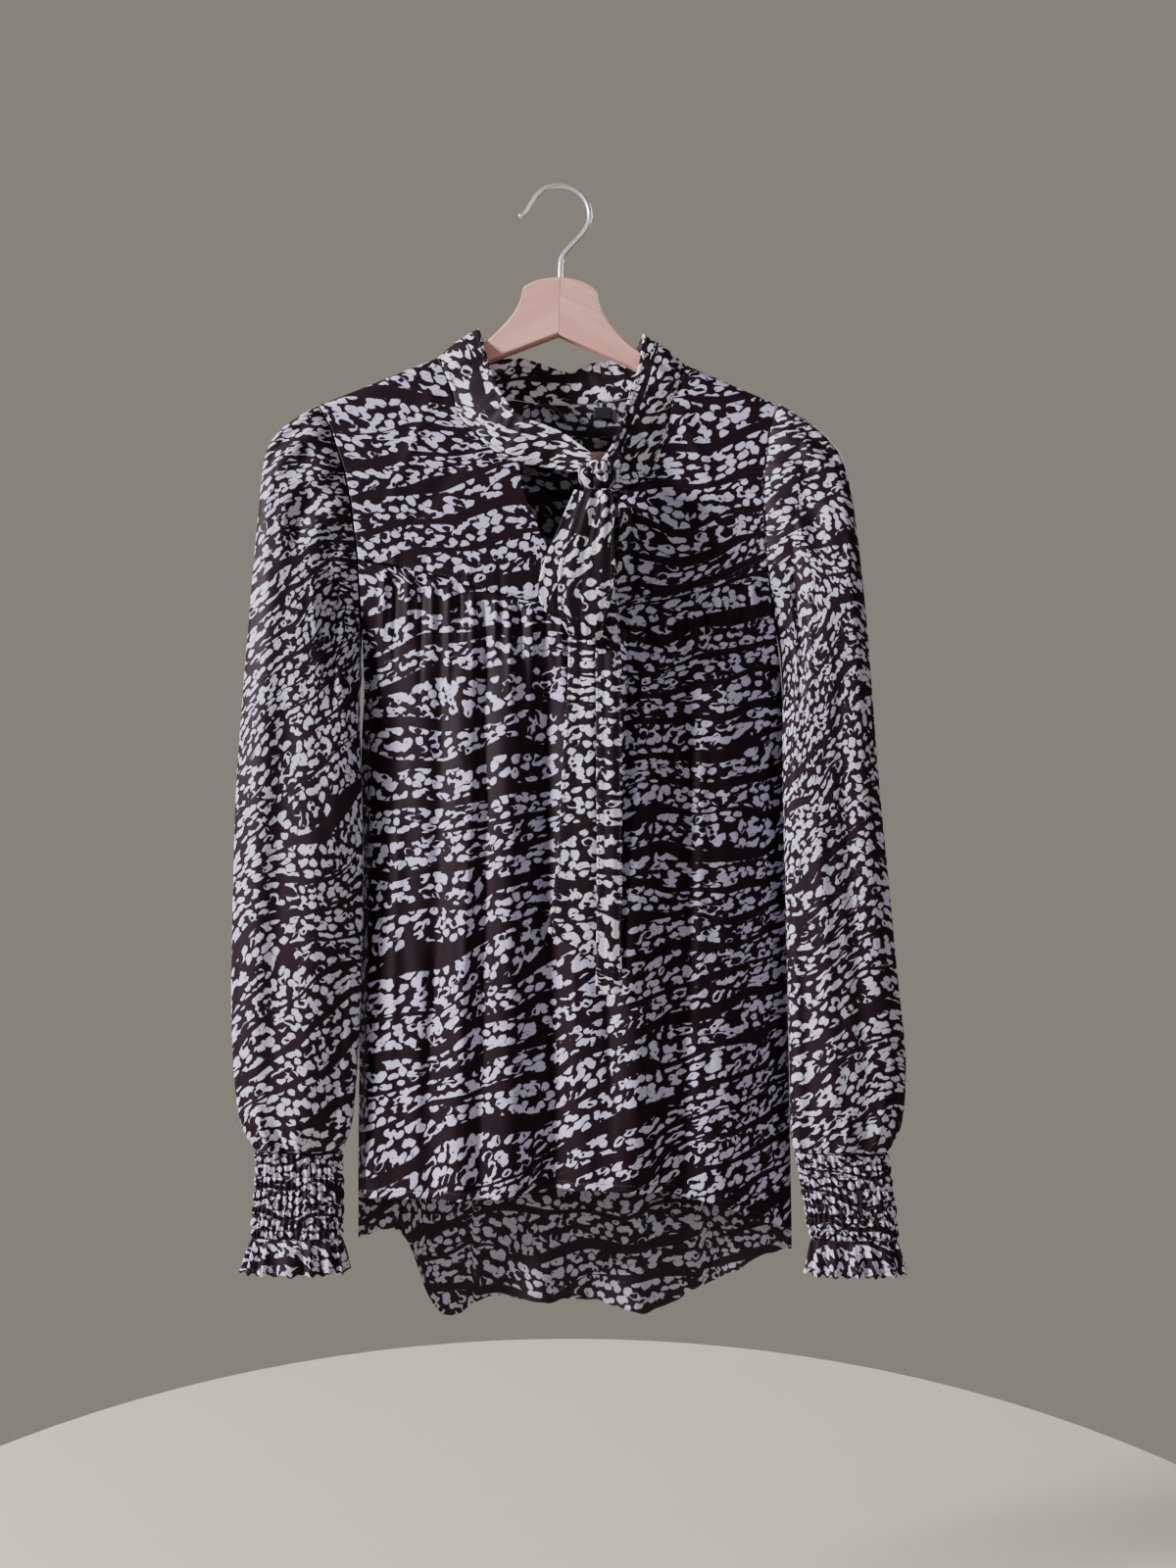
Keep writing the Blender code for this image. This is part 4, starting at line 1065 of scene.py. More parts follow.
@dataclass
class Sleeves:
    """Two full sleeves with gathered heads, shirred cuffs and frills.

    Args:
        finishes: crepe for each piece, by its node.
        seams: the stitcher.
        rings: for each hand, sections going down: outer x, z, inner x, z, front y, back y.
        cuffs: for each hand, rings going down: left x, right x, front y, back y, z.
        frills: the same for the frills.
        front_creases: soft folds on a sleeve's front: share from outer to inner edge at the start and
            at the end, share down at the start and at the end, half width in shares, height.
        back_creases: the same on its back.
        fullness: how much deeper than listed the creases hang.
    """

    finishes: dict[str, Material]
    seams: Seamwork
    rings: dict[Hand, Rows] = field(default_factory=lambda: {
        Hand.LEFT: (
            (-190, -168.5, -145.6, -356, -17, 16), (-203, -178, -146.0, -364, -19, 17),
            (-213, -191, -146.8, -374, -21, 16), (-217, -210, -146.5, -386, -24, 14),
            (-219, -240, -145.8, -402, -27, 9), (-222, -275, -144.8, -422, -29, 7),
            (-226, -325, -143.6, -448, -30, 6), (-231, -390, -142.6, -484, -31, 5),
            (-235, -450, -142.6, -526, -31, 5), (-237, -520, -143.5, -572, -31, 5),
            (-238.4, -590, -145.5, -620, -30, 5), (-237, -645, -148, -658, -30, 5),
            (-232.5, -684, -151, -688, -29, 4), (-224.5, -703, -156, -704, -26, 2),
            (-220.2, -708.6, -159.8, -708.6, -22.2, -1.8),
        ),
        Hand.RIGHT: (
            (177, -168.5, 165.0, -356, -17, 16), (188, -176, 165.6, -364, -19, 17),
            (199, -186.5, 165.8, -374, -21, 16), (208.5, -202, 165.4, -386, -24, 14),
            (214.5, -228, 164.8, -402, -27, 9), (219, -262, 164.4, -422, -29, 7),
            (224.5, -315, 164.6, -448, -30, 6), (229, -375, 165.4, -484, -31, 5),
            (234, -440, 166.4, -526, -31, 5), (241, -512, 167.5, -572, -31, 5),
            (248, -585, 168.8, -620, -30, 5), (253.5, -640, 169.5, -658, -30, 5),
            (251.5, -684, 170, -688, -29, 4), (244, -704, 171.5, -705, -26, 2),
            (239.8, -709.6, 174.2, -709.6, -22.2, -1.8),
        ),
    })
    cuffs: dict[Hand, Rows] = field(default_factory=lambda: {
        Hand.LEFT: (
            (-220.5, -159.5, -22, -2, -709), (-220, -159, -21, -1, -724), (-221.5, -158.5, -21, -1, -742),
            (-223, -158.5, -21, -1, -760), (-223.5, -159.5, -20, -2, -772),
        ),
        Hand.RIGHT: (
            (174, 240, -22, -2, -710), (177, 242, -21, -1, -724), (180, 244.5, -21, -1, -742),
            (183, 246.5, -21, -1, -760), (185.5, 248, -20, -2, -773),
        ),
    })
    frills: dict[Hand, Rows] = field(default_factory=lambda: {
        Hand.LEFT: (
            (-223.5, -159.5, -20, -2, -772.4), (-227, -157, -23, 1, -783), (-230, -155, -25, 3, -797),
        ),
        Hand.RIGHT: ((185.5, 248, -20, -2, -773.4), (184, 251, -23, 1, -784), (182.5, 254, -25, 3, -798)),
    })
    front_creases: Rows = (
        (0.60, 0.70, -0.02, 0.40, 0.045, -3.2), (0.48, 0.56, -0.02, 0.30, 0.05, 2.2),
        (0.34, 0.40, -0.02, 0.24, 0.05, -1.8), (0.22, 0.27, -0.02, 0.20, 0.05, 1.8),
        (0.72, 0.84, 0.02, 0.55, 0.06, 2.0), (0.86, 0.90, 0.05, 0.70, 0.05, -2.2),
        (0.25, 0.32, 0.30, 0.82, 0.08, 1.8), (0.44, 0.40, 0.42, 0.92, 0.06, -1.8),
        (0.62, 0.58, 0.50, 0.99, 0.07, 2.0), (0.15, 0.20, 0.55, 0.99, 0.05, -1.6),
        (0.78, 0.72, 0.62, 1.02, 0.05, -2.0), (0.30, 0.34, 0.80, 1.05, 0.03, 1.8),
        (0.40, 0.44, 0.84, 1.05, 0.025, -1.8), (0.52, 0.52, 0.82, 1.05, 0.03, 1.8),
        (0.66, 0.64, 0.85, 1.05, 0.025, -1.7), (0.88, 0.82, 0.80, 1.05, 0.03, 1.6),
        (0.20, 0.26, 0.86, 1.05, 0.025, -1.5),
    )
    back_creases: Rows = (
        (0.30, 0.36, -0.02, 0.34, 0.05, 2.4), (0.46, 0.50, -0.02, 0.28, 0.05, -2.2),
        (0.62, 0.66, -0.02, 0.36, 0.05, 2.2), (0.36, 0.30, 0.34, 0.88, 0.08, -2.0),
        (0.58, 0.62, 0.40, 0.95, 0.07, 2.0), (0.78, 0.74, 0.52, 0.99, 0.06, -1.8),
        (0.26, 0.32, 0.82, 1.05, 0.03, 1.7), (0.48, 0.50, 0.80, 1.05, 0.03, -1.8),
        (0.70, 0.68, 0.83, 1.05, 0.03, 1.7),
    )
    armhole_gap: float = 1.6
    fullness: float = 1.35
    pleats: int = 40
    pleat_depth: float = 1.3
    elastic_rows: int = 7
    waves: int = 14
    wave_depth: float = 2.4

    def armhole(self, hand: Hand, angles: Array) -> Array:
        """The armhole from the shoulder round the front, the underarm and the back."""
        z = -161 + (FORM.underarm_z + 161) * (1 - np.cos(angles)) / 2
        x = FORM.edge_x(hand, z)
        y = np.where(angles <= np.pi, FORM.depth_y(x, z, -1), FORM.depth_y(x, z, 1))
        y = np.where(np.abs(np.sin(angles)) < 1e-6, 0, y)
        return np.stack([x + hand.value * self.armhole_gap, y, z], -1)

    def crease_heights(self, table: Rows, share: Array, down: Array) -> Array:
        """Creases that run down a sleeve, each a bell across its front or back."""
        total = np.zeros(np.broadcast_shapes(share.shape, down.shape))
        for first, last, start, end, half, height in table:
            run = np.clip((down - start) / (end - start), 0, 1)
            ends = smooth((down - start) / 0.05) * smooth((end - down) / (0.45 * (end - start)))
            total = total + height * ends * hump(share, first + (last - first) * run, half)
        return total

    def sleeve(self, hand: Hand) -> Surface:
        """A sleeve: rings that fan from the armhole to level ones at the cuff.

        Across, each ring is a flattened oval: y follows the sine of the angle to the power 0.65.
        """
        angles = np.linspace(0, 2 * np.pi, 168, endpoint=False)
        rows = along(self.rings[hand], 118)
        middle = (rows[:, None, :2] + rows[:, None, 2:4]) / 2
        half = (rows[:, None, :2] - rows[:, None, 2:4]) / 2
        flat = middle + half * np.cos(angles)[None, :, None]
        around = np.sin(angles)[None]
        front, back = rows[:, 4:5], rows[:, 5:6]
        y = (front + back) / 2 - (back - front) / 2 * bent(around, 0.65)
        down = np.linspace(0, 1, len(rows))[:, None]
        head = np.exp(-((down / 0.16) ** 2)) * smooth(np.cos(angles) * 0.6 + 0.7)[None]
        wrist = smooth((down - 0.86) / 0.12)
        ripple = 2.0 * head * np.cos(18 * angles + 0.8 * np.sin(3 * angles))[None]
        ripple = ripple + 1.5 * wrist * ragged(angles, 2 * np.pi / 19, 0.6)[None]
        share = np.where(angles <= np.pi, angles, 2 * np.pi - angles)[None] / np.pi
        on_front = self.crease_heights(self.front_creases, share, down)
        on_back = self.crease_heights(self.back_creases, share, down)
        held = smooth(down / 0.05) * smooth((1 - down) / 0.015) * np.abs(around) ** 0.5
        raised = np.where(angles[None] <= np.pi, on_front, on_back)
        raised = raised + 0.4 * ragged(share * 80, 17, hand.value)
        out = ripple * smooth((1 - down) / 0.02) + held * self.fullness * raised
        y = y - out * bent(around, 0.5)
        rings = np.concatenate([flat[..., :1], y[..., None], flat[..., 1:]], -1)
        grid = np.concatenate([self.armhole(hand, angles)[None], rings])
        if hand is Hand.RIGHT:
            grid = grid[:, ::-1]
        return Surface(grid, wraps=True)

    def rings_of(self, table: Rows, count: int, columns: int) -> tuple[Surface, Array]:
        """Level rings down a cuff or frill, flattened front to back.

        Args:
            table: left x, right x, front y, back y, z.
            count: rings.
            columns: points in a ring.

        Returns:
            The surface and the angle of each column.
        """
        angles = np.linspace(0, 2 * np.pi, columns, endpoint=False)
        rows = along(table, count)[:, :, None]
        left, right, front, back, z = (rows[:, k] for k in range(5))
        x = (left + right) / 2 - (right - left) / 2 * np.cos(angles)
        y = (front + back) / 2 - (back - front) / 2 * bent(np.sin(angles), 0.7)
        return Surface(np.stack([x, y, z + 0 * x], -1), wraps=True), angles

    def cuff(self, hand: Hand) -> Surface:
        """A shirred cuff: puffs between the elastic rows, on uneven pleats that wander row by row."""
        surface, angles = self.rings_of(self.cuffs[hand], 64, 400)
        down = np.linspace(0, 1, 64)[:, None]
        wander = 0.5 * ragged(down * 70 + 9 * angles[None], 21, 1.0 + hand.value)
        phase = self.pleats * angles[None] + 1.6 * wander + 0.7 * np.sin(5 * angles)[None]
        pleat = 0.5 - 0.5 * np.cos(phase)
        puff = np.abs(np.sin(np.pi * self.elastic_rows * down)) ** 0.7
        uneven = 1 + 0.35 * ragged(angles[None] * 40 + 30 * down, 13, 2.0)
        height = self.pleat_depth * pleat * (0.45 + 0.75 * puff) * uneven + 0.5 * puff - 0.3
        raised = surface.raised(height)
        return Surface(raised.points, True, raised.grain * np.array([1.75, 1.15]))

    def frill(self, hand: Hand) -> Surface:
        """The frill: waves that deepen towards a rolled edge."""
        surface, angles = self.rings_of(self.frills[hand], 22, 336)
        down = np.linspace(0, 1, 22)[:, None]
        phase = self.waves * angles + 0.9 * np.sin(3 * angles + hand.value) + 0.6 * np.sin(7 * angles)
        wave = np.sin(phase)[None] + 0.35 * np.sin(2.6 * phase + 1.0)[None] * (1 - down)
        depth = self.wave_depth * (0.15 + 0.85 * down**0.8) * (1 + 0.25 * np.sin(4 * angles + 1.3)[None])
        raised = surface.raised(depth * wave + 0.3 * smooth((down - 0.88) / 0.05))
        points = raised.points.copy()
        points[..., 2] += 1.0 * down * np.sin(2 * phase + 0.5)[None]
        return Surface(points, True, raised.grain * np.array([1.5, 1.0]))

    def build(self) -> None:
        """Makes both sleeves, cuffs and frills, with elastic rows and hem stitches."""
        for hand in Hand:
            side = hand.name.lower()
            sleeve = self.sleeve(hand).turned(38 if hand is Hand.LEFT else 8, (0.2, 0.33))
            cuff, frill = self.cuff(hand), self.frill(hand)
            yoke = f"front_yoke_{side}_cloth"
            pieces = (
                (f"sleeve_{side}", sleeve, Cut((0.26, 0.56), "hung", (yoke,), 0.105)),
                (f"cuff_{side}", cuff, Cut((0.21, 0.066), "gathered", (f"sleeve_{side}_cloth",))),
                (f"cuff_frill_{side}", frill, Cut((0.24, 0.026), "gathered", (f"cuff_{side}_cloth",))),
            )
            for node, surface, cut in pieces:
                hang(node, surface, self.finishes[node])
            rows = np.arange(1, self.elastic_rows) * 63 / self.elastic_rows
            around = np.linspace(0, 399.5, 900)
            elastic = Seamwork(self.seams.finish, length=1.7, pitch=1.9, radius=0.28)
            shirring = [cuff.at(np.full(900, row), around, 0.1) for row in rows]
            settle(elastic.lay(f"cuff_elastic_{side}", shirring), "printed_crepe")
            hem = [frill.at(np.full(900, 18.6), np.linspace(0, 335.5, 900), 0.1)]
            settle(self.seams.lay(f"frill_stitches_{side}", hem), "printed_crepe")


@dataclass
class NeckTie:
    """The stand band with its bow: knot, two loops, two tails, and the narrow band on the slit.

    Args:
        finishes: crepe for each piece, by its node.
        seams: the stitcher.
        band: seam x, seam z, side (-1 front, 1 back), top x, top y, top z, from the knot round the neck.
        loop_front: left x, right x, y, z along the front loop's middle.
        loop_rear: the same for the rear loop.
        tail_short: the same for the short tail.
        tail_long: the same for the long tail.
        slant: height of the short tail's end at its right, against its left.
        knot_centre: middle of the knot.
        knot_half: half the knot's width, depth and height.
        knot_creases: place across the knot, half width and height of each crease.
        loop_creases: place at the top and foot, half width and height of each crease on a loop.
        tail_creases: the same on a tail.
        slit_right: x and z of the slit's right edge.
    """

    finishes: dict[str, Material]
    seams: Seamwork
    band: Rows = (
        (25.5, -218.5, -1, 24, -31.2, -202.5), (-3.7, -211.2, -1, 2, -30, -187),
        (-27.9, -206.8, -1, -19.9, -28, -178), (-41.5, -200.7, -1, -30, -26, -172),
        (-53.7, -191.7, -1, -37, -23, -164), (-71.1, -172.9, -1, -44.4, -18, -150),
        (-78.6, -150.4, -1, -50.5, -13, -133), (-84.5, -136, -1, -54.5, -10, -119.5),
        (-89.2, -125.9, -1, -59.0, 0, -103.5), (-83.6, -132.5, 1, -55.5, 10, -112),
        (-71.7, -140.5, 1, -51, 12, -119), (-55.8, -147.5, 1, -43, 13, -122.5),
        (-36.9, -153, 1, -29, 14, -122), (-15, -156.3, 1, -12, 15.5, -126),
        (7, -157.3, 1, 7, 17, -131.5), (29.9, -156, 1, 24, 15.5, -125.5),
        (49.8, -152.5, 1, 39, 14, -123.5), (67.7, -146, 1, 50, 13, -122),
        (84.6, -136.5, 1, 58, 11, -115), (94.2, -131.1, 1, 62.4, 0, -108),
        (89, -146, -1, 60, -10.5, -127), (84, -159, -1, 57, -14, -142),
        (79, -183.5, -1, 51, -19, -160), (73, -202, -1, 46.5, -24, -175),
        (64, -216.5, -1, 43, -28, -188), (50, -226.5, -1, 37, -30.6, -200),
        (38, -231, -1, 31, -31.2, -208),
    )
    loop_front: Rows = (
        (18, 39, -46.5, -232.0), (15, 40.5, -52, -243), (8.5, 40.5, -55, -263), (2.3, 41, -56, -282),
        (0.5, 40, -56, -300), (1.4, 36, -55, -320), (6, 33, -53, -332), (11, 30, -48.5, -338.5),
        (8, 32, -45, -333), (3.5, 35, -43.2, -320), (2.5, 39, -42.5, -300), (4, 40, -42.3, -282),
        (10, 39.5, -42.3, -263), (16, 39, -42.6, -243), (19, 38, -43.4, -232.4),
    )
    loop_rear: Rows = (
        (12, 37, -34.0, -229.9), (-2, 38, -32.5, -262), (-11, 38, -33, -285), (-14, 34, -33, -303),
        (-9, 30, -31.5, -317), (0, 26, -28.5, -321), (-9, 30, -25.6, -316), (-13, 33, -25, -303),
        (-10, 35, -25.4, -285), (-2, 36, -26, -262), (11, 36, -27, -236),
    )
    tail_short: Rows = (
        (16, 34, -37.0, -231.2), (10, 35, -35.6, -290), (8, 35, -36.5, -340), (7, 35, -38.5, -375),
        (5, 34.5, -40, -405), (3, 34, -41, -437), (1.5, 34, -41.5, -470), (-1.5, 33.5, -42, -505),
        (-5.5, 33, -42.5, -537), (-6.7, 33, -43, -546),
    )
    tail_long: Rows = (
        (22, 38, -40.2, -232.0), (26, 42, -38.9, -290), (27, 45, -40.2, -340), (27.5, 46, -42.4, -380),
        (27.5, 46, -44, -425), (28, 46, -45, -475), (28, 46, -45.8, -520), (27.5, 45.5, -46.3, -560),
        (27, 46.5, -46.8, -590),
    )
    slant: float = -26.0
    knot_centre: Point = (28.5, -41.4, -221.0)
    knot_half: Point = (13.5, 9.6, 10.5)
    knot_creases: Rows = (
        (-4.6, 0.9, -1.1), (2.6, 0.8, -1.3), (8.0, 0.8, -0.8), (-1.0, 2.2, 0.35), (5.4, 1.6, 0.3),
    )
    loop_creases: Rows = (
        (0.5, 0.42, 0.07, -2.0), (0.3, 0.2, 0.07, 1.4), (0.72, 0.8, 0.08, 1.5), (0.62, 0.6, 0.05, -0.9),
    )
    tail_creases: Rows = ((0.35, 0.3, 0.1, -1.1), (0.6, 0.7, 0.12, 0.9), (0.8, 0.86, 0.07, -0.6))
    slit_right: Rows = SLIT_RIGHT

    def neckline(self, hand: Hand, away: float) -> Array:
        """The band's seam beside one yoke, moved out of the neck, from the shoulder down."""
        first, last = (2, 9) if hand is Hand.LEFT else (19, 25)
        points = np.asarray(self.band, float)[first:last, :2]
        moved = points + away * unit(points - np.array([4.0, -165.0]))
        return moved[::-1] if hand is Hand.LEFT else moved

    def stand(self) -> Surface:
        """The band: straight from its seam to its top edge, swollen a little between, with soft dents."""
        rows = np.asarray(self.band, float)
        seam_y = FORM.depth_y(rows[:, 0], rows[:, 1], rows[:, 2])
        seam_y = np.where(np.abs(rows[:, 1] - FORM.shoulder_z(rows[:, 0])) < 0.01, 0, seam_y)
        seam_y[[0, -2, -1]] = (-30.4, -28.0, -30.4)
        seam = along(np.stack([rows[:, 0], seam_y, rows[:, 1]], -1), 320)
        top = along(rows[:, 3:6], 320)
        share = np.linspace(0, 1, 22)[:, None, None]
        grid = (top[None] * (1 - share) + seam[None] * share)[:, ::-1]
        surface = Surface(grid)
        run = np.cumsum(np.concatenate([[0], np.linalg.norm(np.diff(seam[::-1], axis=0), axis=1)]))[None]
        down = share[..., 0]
        dents = 0.7 * ragged(run + 9 * down, 21, 0.4) * np.sin(np.pi * down) ** 0.7
        dents = dents + 0.55 * ragged(run, 11, 2.2) * (1 - down) ** 2
        near_knot = smooth(1 - run / 34) + smooth(1 - (run[:, -1:] - run) / 34)
        pinched = 0.9 * near_knot * np.cos(down * 16) * np.sin(np.pi * down)
        edge = 0.25 * smooth((down - 0.9) / 0.05) + 0.25 * smooth((0.1 - down) / 0.05)
        band = surface.raised(np.sin(np.pi * down) * 1.5 + dents + pinched + edge)
        band.grain[..., 1] -= band.grain[:1, :, 1].copy()
        return band

    def strip(self, table: Rows, count: int, across: int, marks: Rows, slant: float = 0.0) -> Surface:
        """A band of cloth along its run, crowned across, with creases that gather at the knot.

        Args:
            table: left x, right x, y, z along the run.
            count: rows.
            across: columns.
            marks: creases: share across at the knot, at the end, half width in shares, height.
            slant: how far the end drops from left to right.

        Returns:
            The strip's outside.
        """
        rows = along(table, count)
        share = np.linspace(0, 1, across)[None, :]
        down = np.linspace(0, 1, count)[:, None]
        x = rows[:, :1] + (rows[:, 1:2] - rows[:, :1]) * share
        end = smooth((down - 0.72) / 0.28)
        z = rows[:, 3:4] + slant * share * end
        surface = Surface(np.stack([x, rows[:, 2:3] + 0 * share, z], -1))
        height = np.sin(np.pi * share) * 0.9 + 0 * down
        for first, last, half, tall in marks:
            fade = smooth(down / 0.04) * (0.35 + 0.65 * np.exp(-down / 0.35))
            place = first + (last - first) * down
            height = height + tall * fade * hump(share, place, half) * both_ends(share, 0.08)
        rim = smooth((0.07 - share) / 0.03) + smooth((share - 0.93) / 0.03)
        return surface.raised(height + 0.22 * rim)

    def loop(self, table: Rows, count: int, across: int, marks: Rows) -> Surface:
        """A strip that leaves the knot and comes back, so its creases gather at both ends."""
        surface = self.strip(table, count, across, ())
        share = np.linspace(0, 1, across)[None, :]
        down = np.linspace(0, 1, count)[:, None]
        near = 1 - np.sin(np.pi * down) ** 0.6
        fade = (0.3 + 0.7 * near) * both_ends(down, 0.03)
        height = 0 * share + 0 * down
        for first, last, half, tall in marks:
            place = first + (last - first) * np.sin(np.pi * down)
            height = height + tall * fade * hump(share, place, half)
        return surface.raised(height * both_ends(share, 0.08))

    def knot(self) -> Surface:
        """The knot: a rounded pad whose middle is pinched, creased along the cloth that wraps it.

        Rings run from pole to pole along x; every direction is squared off by a power of 0.8.
        """
        rings, sides = 64, 96
        polar = np.linspace(0.02, np.pi - 0.02, rings)[:, None]
        turn = np.linspace(0, 2 * np.pi, sides, endpoint=False)[None]
        wide = np.sin(polar)
        ball = np.stack([-np.cos(polar) + 0 * turn, -wide * np.cos(turn), wide * np.sin(turn)], -1)
        ball = bent(ball, 0.8)
        pinch = 1 - 0.12 * np.cos(3 * np.arctan2(ball[..., 2], ball[..., 0])) * np.abs(ball[..., 1])
        points = ball * pinch[..., None] * np.array(self.knot_half)
        surface = Surface(points + np.array(self.knot_centre), wraps=True)
        across = points[..., 0] + 0.18 * points[..., 2]
        height = sum(tall * hump(across, place, half) for place, half, tall in self.knot_creases)
        return surface.raised(height * wide)

    def slit_band(self) -> Surface:
        """The narrow band on the slit's right edge, lying on the right yoke."""
        z = np.linspace(-240, -296, 44)[:, None]
        share = np.linspace(0, 1, 14)[None, :]
        slit = np.asarray(self.slit_right, float)
        x = np.interp(-z, -slit[:, 1], slit[:, 0]) + 0.3 + 9.5 * share
        z = z + 0 * share
        y = FORM.depth_y(x, z, -1) - 1.3 - 0.25 * np.sin(np.pi * share)
        return Surface(np.stack([x, y, z], -1))

    def build(self) -> None:
        """Makes the band, the bow and the slit's band, with stitches along their edges."""
        looped, hung = self.loop_creases, self.tail_creases
        short = self.strip(self.tail_short, 130, 34, hung, self.slant)
        pieces = {
            "neck_band": self.stand().turned(0, (0.15, 0.1)),
            "tie_knot": self.knot().turned(60, (0.4, 0.52)),
            "tie_loop_front": self.loop(self.loop_front, 150, 40, looped).turned(84, (0.03, 0.31)),
            "tie_loop_rear": self.loop(self.loop_rear, 100, 34, looped[:2]).turned(70, (0.2, 0.2)),
            "tie_tail_short": short.turned(6, (0.71, 0.2)),
            "tie_tail_long": self.strip(self.tail_long, 130, 28, hung[:2]).turned(-4, (0.6, 0.7)),
            "slit_band": self.slit_band().turned(80, (0.1, 0.5)),
        }
        for node, surface in pieces.items():
            hang(node, surface, self.finishes[node], SHELL if node != "tie_knot" else 1.0)
        insets = {"tie_loop_front": 2.6, "tie_tail_short": 2.2, "tie_tail_long": 2.2, "slit_band": 1.4}
        edge_lines = []
        for node, inset in insets.items():
            surface = pieces[node]
            rows, columns = surface.points.shape[:2]
            down = np.linspace(2, rows - 3, 400)
            for side in (inset, columns - 1 - inset):
                edge_lines.append(surface.at(down, np.full(400, side), 0.14))
        settle(self.seams.lay("tie_stitches", edge_lines), "printed_crepe")
        band = pieces["neck_band"]
        columns = np.linspace(14, band.points.shape[1] - 15, 700)
        lines = [band.at(np.full(700, row), columns, 0.14) for row in (1.8, 19.2)]
        settle(self.seams.lay("band_stitches", lines), "printed_crepe")


@dataclass
class NeckTrim:
    """The bare black label and the ribbon loop inside the back neck.

    Args:
        finish: black ribbon.
        seams: the stitcher.
        label: left, right, top and bottom of the label.
        loop: the ribbon's run as x, z.
    """

    finish: Material
    seams: Seamwork
    label: tuple[float, float, float, float] = (26.0, 39.5, -159.8, -168.5)
    loop: Rows = ((-18, -160), (-14, -158.4), (-8, -158.6), (-2, -161.5), (2, -166), (6, -171.5))
    wall: float = 1.2
    label_thick: float = 0.8
    ribbon: float = 2.6

    def inside_back(self, x: Array, z: Array, clear: float) -> Array:
        """Points just inside the back's wall."""
        return np.stack([x, FORM.depth_y(x, z, 1) - self.wall - clear, z], -1)

    def build(self) -> None:
        """Makes the label, its two stitched ends and the loop."""
        left, right, top, bottom = self.label
        x, z = np.meshgrid(np.linspace(left, right, 28), np.linspace(top, bottom, 18))
        edge = np.minimum(np.minimum(x - left, right - x), np.minimum(top - z, z - bottom))
        clear = 0.5 + self.label_thick - 0.25 * (1 - smooth(edge / 0.8))
        label = Surface(self.inside_back(x, z, clear))
        settle(shell("neck_label_ribbon", label, self.finish, 0.6), "black_ribbon", "neck_label")
        ends = [label.at(np.linspace(1, 16, 60), np.full(60, column), 0.1) for column in (2.0, 25.0)]
        settle(Seamwork(self.seams.finish, 1.2, 1.6, 0.18).lay("label_stitches", ends), "black_ribbon")
        run = along(self.loop, 60)
        slope = unit(np.gradient(run, axis=0))
        across = np.stack([-slope[:, 1], slope[:, 0]], -1) * self.ribbon / 2
        share = np.linspace(1, -1, 8)[:, None, None]
        flat = run[None] + across[None] * share
        crown = 0.3 * (1 - share[..., 0] ** 2)
        loop = Surface(self.inside_back(flat[..., 0], flat[..., 1], 0.5 + 0.9 + crown))
        settle(shell("hang_loop_ribbon", loop, self.finish, 0.6), "black_ribbon", "hang_loop")


